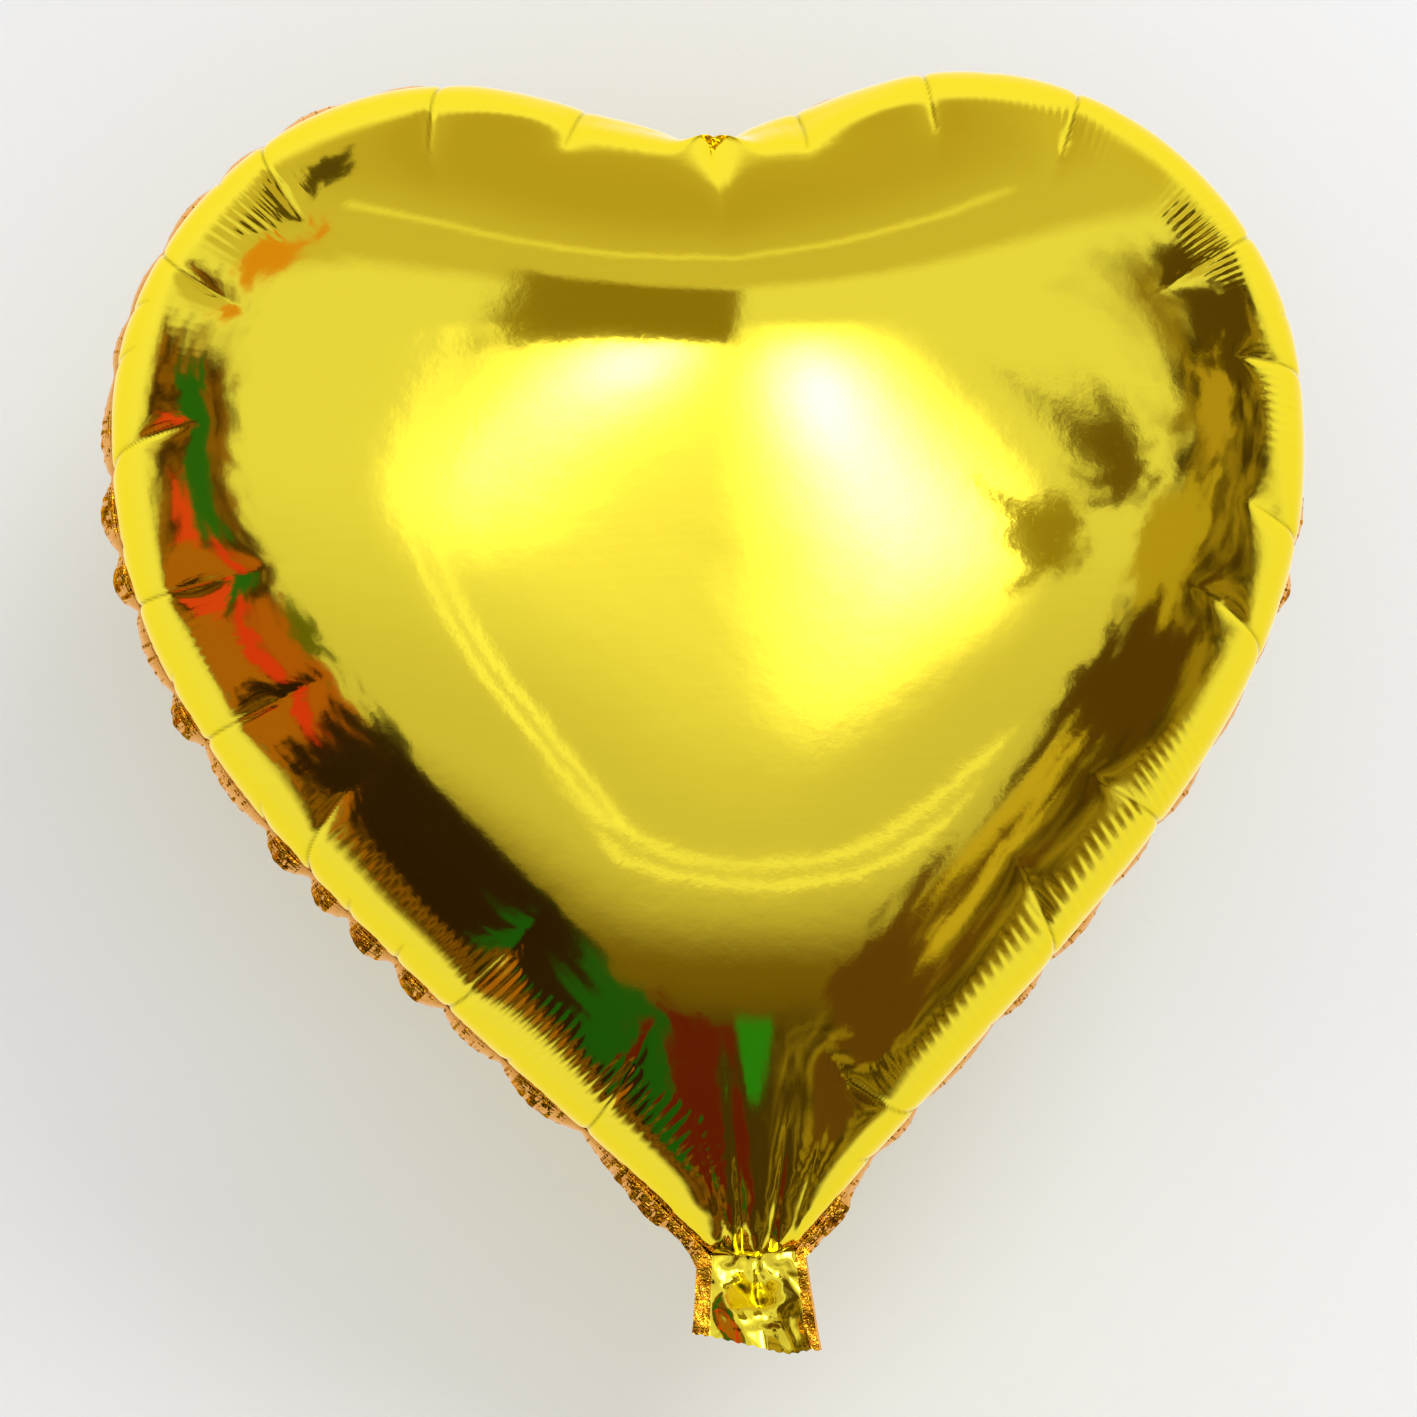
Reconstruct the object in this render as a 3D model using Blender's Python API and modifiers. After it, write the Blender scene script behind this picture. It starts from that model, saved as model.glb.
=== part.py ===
"""Heart-shaped foil balloon, inflated: two heat-sealed foil panels, a filling tail and a self-sealing valve.

The heart stands upright in the XZ plane with its front towards -Y. The origin is the middle of the neck,
where the heart ends, the tail begins and a ribbon is tied. All sizes are in metres.
"""

import bmesh
import bpy
from math import cos, exp, pi
from mathutils import Vector

# Heart, measured on the inflated balloon.
HEART_WIDTH = 0.360
NOTCH_Z = 0.3256
LOBE_TOP_Z = 0.347
LOBE_TOP_X = 0.076
WIDEST_Z = 0.2336
HALF_DEPTH = 0.090
CENTRE_Z = 0.190
SEAL_WIDTH = 0.006
FULLNESS = 2.4
EDGE_STEEPNESS = 0.55
NECK_TAPER = 0.012

# Bezier handles of the outline.
ROUND_HANDLE = 0.5523
NOTCH_HANDLE = Vector((0.025, 0.0084))
LOBE_INNER_HANDLE = 0.024
FLANK_HANDLE = 0.085
NECK_HANDLE = 0.085

# Neck and tail.
NECK_WIDTH = 0.031
FOLD_GAP = 0.001
TAIL_LENGTH = 0.030
TAIL_END_WIDTH = 0.0375
TAIL_SEAL_WIDTH = 0.003
MOUTH_DEPTH = 0.0075
MOUTH_RUN = 0.016

# Films: drawn thicker than the real foil so that each is a solid, with a gap to its neighbour.
FOIL_THICKNESS = 0.00025
SEAL_THICKNESS = 0.0003
GAP = 0.0003
MARGIN_Y = SEAL_THICKNESS / 2 + GAP

# Self-sealing valve inside the heart.
VALVE_ROOT_Z = 0.012
VALVE_TIP_Z = 0.088
VALVE_ROOT_WIDTH = 0.018
VALVE_WIDTH = 0.032
VALVE_SHOULDER_Z = 0.030
VALVE_FILM_THICKNESS = 0.0002
VALVE_FILM_Y = 0.00035
PRINT_THICKNESS = 0.0001
PRINT_WIDTH = 0.012
PRINT_LOW_Z = 0.016
PRINT_HIGH_Z = 0.044

# Mesh density.
NOTCH_STEPS = 5
LOBE_STEPS = 9
FLANK_STEPS = 13
NECK_STEPS = 3
DISH_RINGS = 7
TAIL_ROWS = 8
TAIL_COLUMNS = 6

MERGE_DISTANCE = 0.00001
CENTRE = Vector((0.0, CENTRE_Z))


def clear_scene():
    for old in list(bpy.data.objects):
        bpy.data.objects.remove(old, do_unlink=True)


def material(name, colour, roughness, metallic):
    made = bpy.data.materials.new(name)
    made.use_nodes = True
    shader = made.node_tree.nodes["Principled BSDF"]
    shader.inputs["Base Color"].default_value = (*colour, 1.0)
    shader.inputs["Roughness"].default_value = roughness
    shader.inputs["Metallic"].default_value = metallic
    return made


def bezier(start, handle_a, handle_b, end, t):
    u = 1.0 - t
    return u**3 * start + 3 * u * u * t * handle_a + 3 * u * t * t * handle_b + t**3 * end


def half_outline():
    """Right half of the heart's edge in (x, z), from the notch over the lobe and down to the neck."""
    notch = Vector((0.0, NOTCH_Z))
    lobe_top = Vector((LOBE_TOP_X, LOBE_TOP_Z))
    widest = Vector((HEART_WIDTH / 2, WIDEST_Z))
    neck = Vector((NECK_WIDTH / 2, FOLD_GAP))
    across = Vector((1.0, 0.0))
    up = Vector((0.0, 1.0))
    lobe_reach = ROUND_HANDLE * (widest.x - lobe_top.x)
    lobe_rise = ROUND_HANDLE * (lobe_top.y - widest.y)
    runs = (
        (notch, notch + NOTCH_HANDLE, lobe_top - LOBE_INNER_HANDLE * across, lobe_top, NOTCH_STEPS),
        (lobe_top, lobe_top + lobe_reach * across, widest + lobe_rise * up, widest, LOBE_STEPS),
        (widest, widest - FLANK_HANDLE * up, neck + NECK_HANDLE * (across + up), neck, FLANK_STEPS),
    )
    points = [notch]
    for start, handle_a, handle_b, end, steps in runs:
        points += [bezier(start, handle_a, handle_b, end, step / steps) for step in range(1, steps + 1)]
    return points


def inset(points, index, width):
    """Outline point moved towards the heart's centre until it lies width inside the edge."""
    point = points[index]
    before = points[max(index - 1, 0)]
    after = points[min(index + 1, len(points) - 1)]
    along = (after - before).normalized()
    if point.x < MERGE_DISTANCE:
        along = Vector((1.0, 0.0))
    outward = Vector((-along.y, along.x))
    inward_ray = (CENTRE - point).normalized()
    return point + inward_ray * (width / abs(inward_ray.dot(outward)))


def bulge(ring, z):
    """Depth of the inflated panel: ring runs from 0 at the centre to 1 at the seam."""
    dome = (1.0 - ring**FULLNESS) ** EDGE_STEEPNESS
    neck = 1.0 - exp(-max(z - SEAL_WIDTH, 0.0) / NECK_TAPER)
    return HALF_DEPTH * dome * neck


def panel_columns(side):
    """Lines of points from the edge to the heart's centre, for the right half of one panel."""
    edge = half_outline()
    neck_corner = edge[-1]
    edge += [Vector((neck_corner.x * (1.0 - step / NECK_STEPS), FOLD_GAP)) for step in range(1, NECK_STEPS + 1)]
    columns = []
    for index, point in enumerate(edge):
        seam = inset(edge, index, SEAL_WIDTH)
        if point.x < MERGE_DISTANCE:
            seam.x = 0.0
        column = [Vector((point.x, side * MARGIN_Y, point.y)), Vector((seam.x, side * MARGIN_Y, seam.y))]
        for step in range(1, DISH_RINGS):
            ring = cos(pi / 2 * step / DISH_RINGS)
            spot = CENTRE + (seam - CENTRE) * ring
            column.append(Vector((spot.x, side * (MARGIN_Y + bulge(ring, spot.y)), spot.y)))
        columns.append(column)
    return columns


def mesh_object(name, build, look, collection, parent=None):
    """Object from a bmesh filled by build(bm), placed in world space even when it has a parent."""
    mesh = bpy.data.meshes.new(name)
    bm = bmesh.new()
    build(bm)
    bm.to_mesh(mesh)
    bm.free()
    mesh.materials.append(look)
    mesh.shade_smooth()
    made = bpy.data.objects.new(name, mesh)
    collection.objects.link(made)
    if parent is not None:
        made.parent = parent
        mesh.transform(parent.matrix_world.inverted())
    return made


def grid_faces(bm, columns):
    """Quads between neighbouring columns of points; returns the vertices."""
    rows = [[bm.verts.new(point) for point in column] for column in columns]
    for left, right in zip(rows, rows[1:]):
        for step in range(len(left) - 1):
            bm.faces.new((left[step], left[step + 1], right[step + 1], right[step]))
    return rows


def face_side(bm, side):
    """Turn an open sheet so that its faces look towards side on the Y axis."""
    bm.normal_update()
    if sum(face.normal.y * face.calc_area() for face in bm.faces) * side < 0.0:
        bmesh.ops.reverse_faces(bm, faces=bm.faces)


def mirror_across_x(made):
    mirror = made.modifiers.new("Both halves", "MIRROR")
    mirror.use_axis = (True, False, False)
    mirror.merge_threshold = MERGE_DISTANCE


def thicken(made, thickness, offset):
    """Solidify towards the face normals for offset 1, and both ways for offset 0."""
    solidify = made.modifiers.new("Film thickness", "SOLIDIFY")
    solidify.thickness = thickness
    solidify.offset = offset
    solidify.use_even_offset = True


def heart_panel(name, side, look, collection):
    """Dished foil panel with its flat seal margin all round and its pinched end at the neck."""

    def build(bm):
        rows = grid_faces(bm, panel_columns(side))
        centre = bm.verts.new((0.0, side * (MARGIN_Y + bulge(0.0, CENTRE_Z)), CENTRE_Z))
        for left, right in zip(rows, rows[1:]):
            bm.faces.new((left[-1], centre, right[-1]))
        face_side(bm, side)

    made = mesh_object(name, build, look, collection)
    mirror_across_x(made)
    thicken(made, FOIL_THICKNESS, 1.0)


def perimeter_seal(look, collection):
    """Fused band between the panels' margins, open at the neck where the gas goes in."""

    def build(bm):
        edge = half_outline()
        columns = []
        for index, point in enumerate(edge):
            inner = inset(edge, index, SEAL_WIDTH)
            if point.x < MERGE_DISTANCE:
                inner.x = 0.0
            columns.append([Vector((point.x, 0.0, point.y)), Vector((inner.x, 0.0, inner.y))])
        grid_faces(bm, columns)
        face_side(bm, -1)

    made = mesh_object("perimeter_seal", build, look, collection)
    mirror_across_x(made)
    thicken(made, SEAL_THICKNESS, 0.0)


def tail_half_width(z):
    return (NECK_WIDTH + (TAIL_END_WIDTH - NECK_WIDTH) * -z / TAIL_LENGTH) / 2


def mouth_bulge(across, z):
    """Depth of the tail's puffed ply: across runs from 0 at the middle to 1 at the tail's edge."""
    reach = tail_half_width(z)
    free = 1.0 - TAIL_SEAL_WIDTH / reach
    if across >= free:
        return 0.0
    run = min((-z - FOLD_GAP) / MOUTH_RUN, 1.0)
    opening = run * run * (3.0 - 2.0 * run)
    return MOUTH_DEPTH * opening * cos(pi / 2 * across / free)


def tail_rows_z():
    return [-FOLD_GAP - (TAIL_LENGTH - FOLD_GAP) * row / TAIL_ROWS for row in range(TAIL_ROWS + 1)]


def tail_ply(name, side, puffed, look, collection, parent):
    """One ply of the filling tail; the front one is puffed into a mouth, the rear one is flat."""

    def build(bm):
        columns = []
        for column in range(TAIL_COLUMNS + 1):
            points = []
            for z in tail_rows_z():
                reach = tail_half_width(z)
                free = 1.0 - TAIL_SEAL_WIDTH / reach
                across = min(column / (TAIL_COLUMNS - 1), 1.0) * free
                if column == TAIL_COLUMNS:
                    across = 1.0
                depth = mouth_bulge(across, z) if puffed else 0.0
                points.append(Vector((across * reach, side * (MARGIN_Y + depth), z)))
            columns.append(points)
        grid_faces(bm, columns)
        face_side(bm, side)

    made = mesh_object(name, build, look, collection, parent)
    mirror_across_x(made)
    thicken(made, FOIL_THICKNESS, 1.0)


def tail_seal(name, hand, look, collection, parent):
    """Fused strip along one edge of the tail; hand is -1 for left and 1 for right, seen from the front."""

    def build(bm):
        outer = [Vector((hand * tail_half_width(z), 0.0, z)) for z in tail_rows_z()]
        inner = [point - Vector((hand * TAIL_SEAL_WIDTH, 0.0, 0.0)) for point in outer]
        grid_faces(bm, [outer, inner])
        face_side(bm, -1)

    made = mesh_object(name, build, look, collection, parent)
    thicken(made, SEAL_THICKNESS, 0.0)


def valve_film(name, side, look, collection, parent):
    """Clear film strip that stands up inside the heart, narrow where it leaves the neck."""

    def build(bm):
        half_widths = (
            (VALVE_ROOT_Z, VALVE_ROOT_WIDTH / 2),
            (VALVE_SHOULDER_Z, VALVE_WIDTH / 2),
            (VALVE_TIP_Z, VALVE_WIDTH / 2),
        )
        left = [Vector((-half, side * VALVE_FILM_Y, z)) for z, half in half_widths]
        right = [Vector((half, side * VALVE_FILM_Y, z)) for z, half in half_widths]
        grid_faces(bm, [left, right])
        face_side(bm, side)

    made = mesh_object(name, build, look, collection, parent)
    thicken(made, VALVE_FILM_THICKNESS, 1.0)


def release_print(look, collection, parent):
    """Heat-resistant ink patch that keeps the two valve films from sealing to each other."""

    def build(bm):
        left = [Vector((-PRINT_WIDTH / 2, 0.0, z)) for z in (PRINT_LOW_Z, PRINT_HIGH_Z)]
        right = [Vector((PRINT_WIDTH / 2, 0.0, z)) for z in (PRINT_LOW_Z, PRINT_HIGH_Z)]
        grid_faces(bm, [left, right])
        face_side(bm, -1)

    made = mesh_object("release_print", build, look, collection, parent)
    thicken(made, PRINT_THICKNESS, 0.0)


def joint_empty(name, location, collection):
    made = bpy.data.objects.new(name, None)
    made.location = location
    collection.objects.link(made)
    bpy.context.view_layer.update()
    return made


def main():
    clear_scene()
    collection = bpy.data.collections.new("heart_foil_balloon")
    bpy.context.scene.collection.children.link(collection)

    gold_foil = material("gold_foil", (0.86, 0.70, 0.05), 0.12, 1.0)
    sealant = material("fused_sealant", (0.72, 0.60, 0.14), 0.35, 0.0)
    clear_film = material("clear_film", (0.86, 0.88, 0.88), 0.20, 0.0)
    ink = material("release_ink", (0.30, 0.33, 0.36), 0.55, 0.0)

    tail_fold = joint_empty("tail_fold_axis", (0.0, 0.0, 0.0), collection)
    valve_root = joint_empty("valve_axis", (0.0, 0.0, VALVE_ROOT_Z), collection)

    heart_panel("front_panel", -1, gold_foil, collection)
    heart_panel("rear_panel", 1, gold_foil, collection)
    perimeter_seal(sealant, collection)

    tail_ply("tail_front_ply", -1, True, gold_foil, collection, tail_fold)
    tail_ply("tail_rear_ply", 1, False, gold_foil, collection, tail_fold)
    tail_seal("tail_left_seal", -1, sealant, collection, tail_fold)
    tail_seal("tail_right_seal", 1, sealant, collection, tail_fold)

    valve_film("valve_front_film", -1, clear_film, collection, valve_root)
    valve_film("valve_rear_film", 1, clear_film, collection, valve_root)
    release_print(ink, collection, valve_root)


main()
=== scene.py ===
"""Looks of the heart-shaped foil balloon: gold foils with puckered seams, a crumpled tail and a film valve.

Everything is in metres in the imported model's frame: the heart stands in the XZ plane, its front towards -Y,
with the origin in the middle of the neck.
"""

from functools import lru_cache
from math import cos, pi, radians, sin

import bpy
import numpy as np
from bpy.props import FloatProperty, FloatVectorProperty, PointerProperty
from mathutils import Matrix, Vector
from mathutils.kdtree import KDTree


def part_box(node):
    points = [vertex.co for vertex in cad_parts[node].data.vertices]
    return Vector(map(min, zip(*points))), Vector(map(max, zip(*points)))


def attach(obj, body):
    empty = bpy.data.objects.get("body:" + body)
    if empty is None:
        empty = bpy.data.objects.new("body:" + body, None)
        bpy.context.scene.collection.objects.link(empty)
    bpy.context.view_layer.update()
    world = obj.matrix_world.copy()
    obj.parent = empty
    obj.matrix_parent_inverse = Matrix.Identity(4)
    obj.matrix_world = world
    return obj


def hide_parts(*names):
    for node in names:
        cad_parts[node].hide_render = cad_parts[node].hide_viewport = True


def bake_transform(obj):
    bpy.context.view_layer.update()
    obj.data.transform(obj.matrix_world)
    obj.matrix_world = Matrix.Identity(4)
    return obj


bl_info = {
    "name": "Heart foil balloon",
    "version": (1, 0, 0),
    "blender": (4, 5, 0),
    "location": "View3D > Sidebar > Balloon",
    "description": "Builds the foils, seams, tail and valve of a heart-shaped foil balloon",
    "category": "Add Mesh",
}

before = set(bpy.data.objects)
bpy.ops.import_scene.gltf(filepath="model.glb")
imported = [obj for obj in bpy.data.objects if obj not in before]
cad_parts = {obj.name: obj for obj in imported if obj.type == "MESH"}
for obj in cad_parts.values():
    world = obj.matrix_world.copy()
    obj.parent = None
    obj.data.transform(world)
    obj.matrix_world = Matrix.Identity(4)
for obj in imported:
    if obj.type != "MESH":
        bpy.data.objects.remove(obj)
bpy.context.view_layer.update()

PANEL_LOW, PANEL_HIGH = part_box("front_panel")
TAIL_LOW, TAIL_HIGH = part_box("tail_front_ply")
VALVE_LOW, VALVE_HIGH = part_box("valve_rear_film")
INK_LOW, INK_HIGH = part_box("release_print")

HALF_WIDTH = PANEL_HIGH[0]
LOBE_TOP_Z = PANEL_HIGH[2]
HALF_DEPTH = -PANEL_LOW[1]
TAIL_END_HALF = TAIL_HIGH[0]
TAIL_LENGTH = -TAIL_LOW[2]

# Outline of the heart, as cut and inflated.
NOTCH_Z = 0.3256
LOBE_TOP_X = 0.076
WIDEST_Z = 0.2336
NECK_HALF = 0.0155
ROUND_HANDLE = 0.5523
NOTCH_HANDLE = (0.025, 0.0084)
LOBE_INNER_HANDLE = 0.024
FLANK_HANDLE = 0.085
NECK_HANDLE = 0.085
CENTRE = np.array((0.0, 0.190))

# Seals. The seal folds back from the seam's plane, further over the lobes than down the flanks.
SEAL_WIDTH = 0.006
FLANK_FOLD = radians(50.0)
LOBE_FOLD = radians(78.0)
CUSP_FOLD = radians(84.0)
RIGHT_FOLD = radians(12.0)
FOLD_SPREAD = radians(14.0)
NOTCH_PULL = 0.0045
NOTCH_PULL_WIDTH, NOTCH_PULL_REACH = 0.005, 0.022
PUCKER_REACH = 0.0065
CREASE_SEED = 11
NECK_CRUSH, NECK_CRUSH_REACH = 0.0011, 0.016
NECK_OPENING = 0.0016
TAIL_SEAL_WIDTH = 0.003
SEAL_TAPER_RUN = 0.030
PLY_Y = 0.00018
SEAL_FILM = 0.00030

# Inflation of the flat pattern.
SEAM_COLUMNS = 62
NECK_COLUMNS = 3
COARSE_RINGS = 22
PATTERN_SCALE = 1.25
STRETCH_STIFFNESS = 40.0
FIRST_STEPS = 2400
FIT_ROUNDS = 5
FIT_GAIN = 0.7
STEPS_A_ROUND = 700

# Taut middle of the panel, as shares of the way in from the seam.
CROWN_START = 0.20
CROWN_BLEND = 0.16
CROWN_DEGREE = 10

# Fine mesh.
SEAM_STEPS = 784
NECK_STEPS = 16
MARGIN_STEPS = 5
TAIL_ROWS = 44
REFERENCE_RADIUS = 0.180


# ---------------------------------------------------------------- settings


class FoilSettings(bpy.types.PropertyGroup):
    """Sizes and colours of the metallised foil."""

    colour: FloatVectorProperty(
        name="Foil colour", description="Reflection colour of the gold foil",
        subtype="COLOR", size=3, min=0.0, max=1.0, default=(0.86, 0.72, 0.045))
    shade: FloatVectorProperty(
        name="Shaded foil colour", description="Deeper gold in the thick lacquer streaks",
        subtype="COLOR", size=3, min=0.0, max=1.0, default=(0.80, 0.62, 0.03))
    roughness: FloatProperty(
        name="Roughness", description="Blur of the foil's mirror finish",
        min=0.0, max=1.0, default=0.07)


class SeamSettings(bpy.types.PropertyGroup):
    """Puckers that the seal takes as the gas shortens it."""

    scallop: FloatProperty(
        name="Scallop depth", description="How far the seam is drawn in at a cusp",
        unit="LENGTH", min=0.0, default=0.0012)
    ripple: FloatProperty(
        name="Ripple height", description="Height of the fine gathers on the shoulder",
        unit="LENGTH", min=0.0, default=0.00020)
    pinch: FloatProperty(
        name="Pinch depth", description="Depth of the long creases where they end on the shoulder",
        unit="LENGTH", min=0.0, default=0.0021)
    colour: FloatVectorProperty(
        name="Sealant colour", description="Fused sealant seen on the cut edge",
        subtype="COLOR", size=3, min=0.0, max=1.0, default=(0.72, 0.28, 0.015))


class ValveSettings(bpy.types.PropertyGroup):
    """Clear film valve with its release ink."""

    film_colour: FloatVectorProperty(
        name="Film colour", description="Tint of the clear film",
        subtype="COLOR", size=3, min=0.0, max=1.0, default=(0.86, 0.88, 0.88))
    ink_colour: FloatVectorProperty(
        name="Ink colour", description="Heat-resistant release ink",
        subtype="COLOR", size=3, min=0.0, max=1.0, default=(0.30, 0.33, 0.36))


class StageSettings(bpy.types.PropertyGroup):
    """Wall, floor, light and camera."""

    wall_colour: FloatVectorProperty(
        name="Wall colour", description="Pale wall and floor",
        subtype="COLOR", size=3, min=0.0, max=1.0, default=(0.86, 0.86, 0.87))
    key_power: FloatProperty(
        name="Key light", description="Power of the large soft light",
        unit="POWER", min=0.0, default=8.0)
    fill: FloatProperty(
        name="Fill", description="Even light that the room gives the wall and floor",
        min=0.0, default=0.90)
    azimuth: FloatProperty(
        name="Camera azimuth", description="Angle of the camera round the balloon from its front",
        subtype="ANGLE", default=radians(-5.0))
    elevation: FloatProperty(
        name="Camera elevation", description="Angle of the camera above the balloon's level",
        subtype="ANGLE", default=radians(-2.5))
    roll: FloatProperty(
        name="Camera roll", description="Tilt of the balloon in the frame",
        subtype="ANGLE", default=radians(2.75))
    distance: FloatProperty(
        name="Camera distance", description="From the lens to the seam's plane",
        unit="LENGTH", min=0.1, default=1.0)
    framed_width: FloatProperty(
        name="Framed width", description="Width of the view at the seam's plane",
        unit="LENGTH", min=0.1, default=0.4170)


# ---------------------------------------------------------------- outline


def bezier(start, handle_a, handle_b, end, steps):
    """Points after the start of one Bezier run."""
    t = np.arange(1, steps + 1)[:, None] / steps
    u = 1.0 - t
    start, handle_a, handle_b, end = map(np.array, (start, handle_a, handle_b, end))
    return u**3 * start + 3 * u * u * t * handle_a + 3 * u * t * t * handle_b + t**3 * end


def resampled(points, count):
    """The same line with count points evenly spaced along it."""
    along = np.r_[0.0, np.cumsum(np.linalg.norm(np.diff(points, axis=0), axis=1))]
    places = np.linspace(0.0, along[-1], count)
    return np.stack([np.interp(places, along, points[:, k]) for k in range(points.shape[1])], 1)


def cut_edge():
    """Right half of the heart's outer edge in (x, z), from the notch over the lobe and down to the neck."""
    notch, top = (0.0, NOTCH_Z), (LOBE_TOP_X, LOBE_TOP_Z)
    wide, neck = (HALF_WIDTH, WIDEST_Z), (NECK_HALF, 0.0)
    reach = ROUND_HANDLE * (HALF_WIDTH - LOBE_TOP_X)
    rise = ROUND_HANDLE * (LOBE_TOP_Z - WIDEST_Z)
    first_handle = (NOTCH_HANDLE[0], NOTCH_Z + NOTCH_HANDLE[1])
    parts = [
        [notch],
        bezier(notch, first_handle, (top[0] - LOBE_INNER_HANDLE, top[1]), top, 200),
        bezier(top, (top[0] + reach, top[1]), (wide[0], wide[1] + rise), wide, 300),
        bezier(wide, (wide[0], wide[1] - FLANK_HANDLE), (neck[0] + NECK_HANDLE, NECK_HANDLE), neck, 500),
    ]
    return resampled(np.vstack(parts), 1601)


def outward_normals(line):
    """Unit normals of a line in (x, z) that runs clockwise round the heart."""
    along = np.gradient(line, axis=0)
    along /= np.linalg.norm(along, axis=1)[:, None]
    return np.stack([-along[:, 1], along[:, 0]], 1)


def smooth_step(x):
    x = np.clip(x, 0.0, 1.0)
    return x * x * (3.0 - 2.0 * x)


def fold_angle(up):
    """How far the seal folds back where the seam's outward normal has this upward part."""
    return FLANK_FOLD + (LOBE_FOLD - FLANK_FOLD) * smooth_step((up + 0.05) / 0.45)


def seam_line(edge):
    """Where the gas space begins: the outer edge moved inwards by the width of the seal."""
    normals = outward_normals(edge)
    ray = CENTRE - edge
    ray /= np.linalg.norm(ray, axis=1)[:, None]
    width = SEAL_WIDTH * np.cos(fold_angle(normals[:, 1]))
    inset = edge + ray * (width / np.abs((ray * normals).sum(1)))[:, None]
    inset[0, 0] = 0.0
    step = np.linalg.norm(np.diff(edge, axis=0), axis=1).mean()
    to_neck = np.arange(len(edge))[::-1] * step
    at_neck = edge + np.array((-TAIL_SEAL_WIDTH, 0.0))
    share = smooth_step(1.0 - to_neck / SEAL_TAPER_RUN)[:, None]
    return inset * (1.0 - share) + at_neck * share


# ---------------------------------------------------------------- inflation


def coarse_target():
    """Seam and neck edge that the inflated skin has to reach, one point for each coarse column."""
    seam = resampled(seam_line(cut_edge()), SEAM_COLUMNS)
    neck = np.linspace(seam[-1], (0.0, 0.0), NECK_COLUMNS + 1)[1:]
    return np.vstack([seam, neck])


class Skin:
    """Tension field of one foil half: links that resist stretching only, over a polar net of points."""

    def __init__(self, pattern):
        columns, rings = len(pattern), COARSE_RINGS
        self.share = np.linspace(1.0, 0.0, rings + 1)
        self.index = np.arange(columns * (rings + 1)).reshape(columns, rings + 1)
        self.index[:, rings] = self.index[0, rings]
        self.seam = self.index[:, 0]
        self.middle = np.unique(np.r_[self.index[0], self.index[-1]])
        self.link(pattern)
        a, b = self.index[:-1, :-1].ravel(), self.index[:-1, 1:].ravel()
        c, d = self.index[1:, 1:].ravel(), self.index[1:, :-1].ravel()
        self.triangles = np.vstack([np.stack([a, b, c], 1), np.stack([a, c, d], 1)])
        flat = self.flat(pattern)
        dish = -0.03 * (1.0 - self.share**2) * np.ones((columns, 1))
        self.points = np.stack([flat[:, 0], dish.ravel(), flat[:, 1]], 1)
        self.speed = np.zeros_like(self.points)
        self.energy = 0.0

    def flat(self, pattern):
        return (CENTRE + (pattern[:, None, :] - CENTRE) * self.share[None, :, None]).reshape(-1, 2)

    def link(self, pattern):
        """Radial, ring and diagonal links, with those along a ring about as long as a ring's step."""
        ids, rings = self.index, COARSE_RINGS
        radial = np.linalg.norm(pattern - CENTRE, axis=1).mean() / rings
        around = np.linalg.norm(np.diff(pattern, axis=0), axis=1).mean()
        ends, weights = [], []
        for ring in range(rings):
            reach = around * self.share[ring]
            skip = int(max(1, min(round(radial / reach), len(pattern) // 4)))
            runs = (
                (ids[:, ring], ids[:, ring + 1], 1.0),
                (ids[:-skip, ring], ids[skip:, ring], 1.0),
                (ids[:-skip, ring], ids[skip:, ring + 1], 0.7),
                (ids[skip:, ring], ids[:-skip, ring + 1], 0.7),
            )
            for start, end, weight in runs:
                ends.append(np.stack([start, end], 1))
                weights.append(np.full(len(start), weight * radial * reach))
        self.ends = np.vstack(ends)
        self.weights = np.concatenate(weights)
        self.measure(pattern)

    def measure(self, pattern):
        """Rest lengths and stiffnesses for this flat pattern."""
        flat = self.flat(pattern)
        length = np.linalg.norm(flat[self.ends[:, 0]] - flat[self.ends[:, 1]], axis=1)
        self.rest = np.maximum(length, 1e-6)
        self.stiffness = STRETCH_STIFFNESS * self.weights / self.rest**2 * (length > 1e-6)
        count = len(pattern) * (COARSE_RINGS + 1)
        self.mass = sum(np.bincount(self.ends[:, k], self.stiffness, count) for k in (0, 1)) * 0.8 + 1e-9

    def step(self):
        points, count = self.points, len(self.points)
        start, end = self.ends[:, 0], self.ends[:, 1]
        a, b, c = (points[self.triangles[:, k]] for k in range(3))
        push = np.cross(b - a, c - a) / 6.0
        gap = points[end] - points[start]
        length = np.sqrt((gap * gap).sum(1))
        stretch = np.maximum(length - self.rest, 0.0)
        pull = (self.stiffness * stretch / np.maximum(length, 1e-12))[:, None] * gap
        force = np.zeros_like(points)
        corners = self.triangles.ravel()
        for k in range(3):
            force[:, k] = np.bincount(corners, np.repeat(push[:, k], 3), count)
            force[:, k] += np.bincount(start, pull[:, k], count) - np.bincount(end, pull[:, k], count)
        force[self.seam, 1] = 0.0
        force[self.middle, 0] = 0.0
        self.speed = self.speed * 0.998 + force / self.mass[:, None]
        energy = (self.mass[:, None] * self.speed**2).sum()
        if energy < self.energy:
            self.speed[:] = 0.0
            energy = 0.0
        self.energy = energy
        self.points = points + self.speed


    def settle(self, steps):
        for _ in range(steps):
            self.step()
        if not np.isfinite(self.points).all():
            raise RuntimeError("the inflation came apart")


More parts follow.
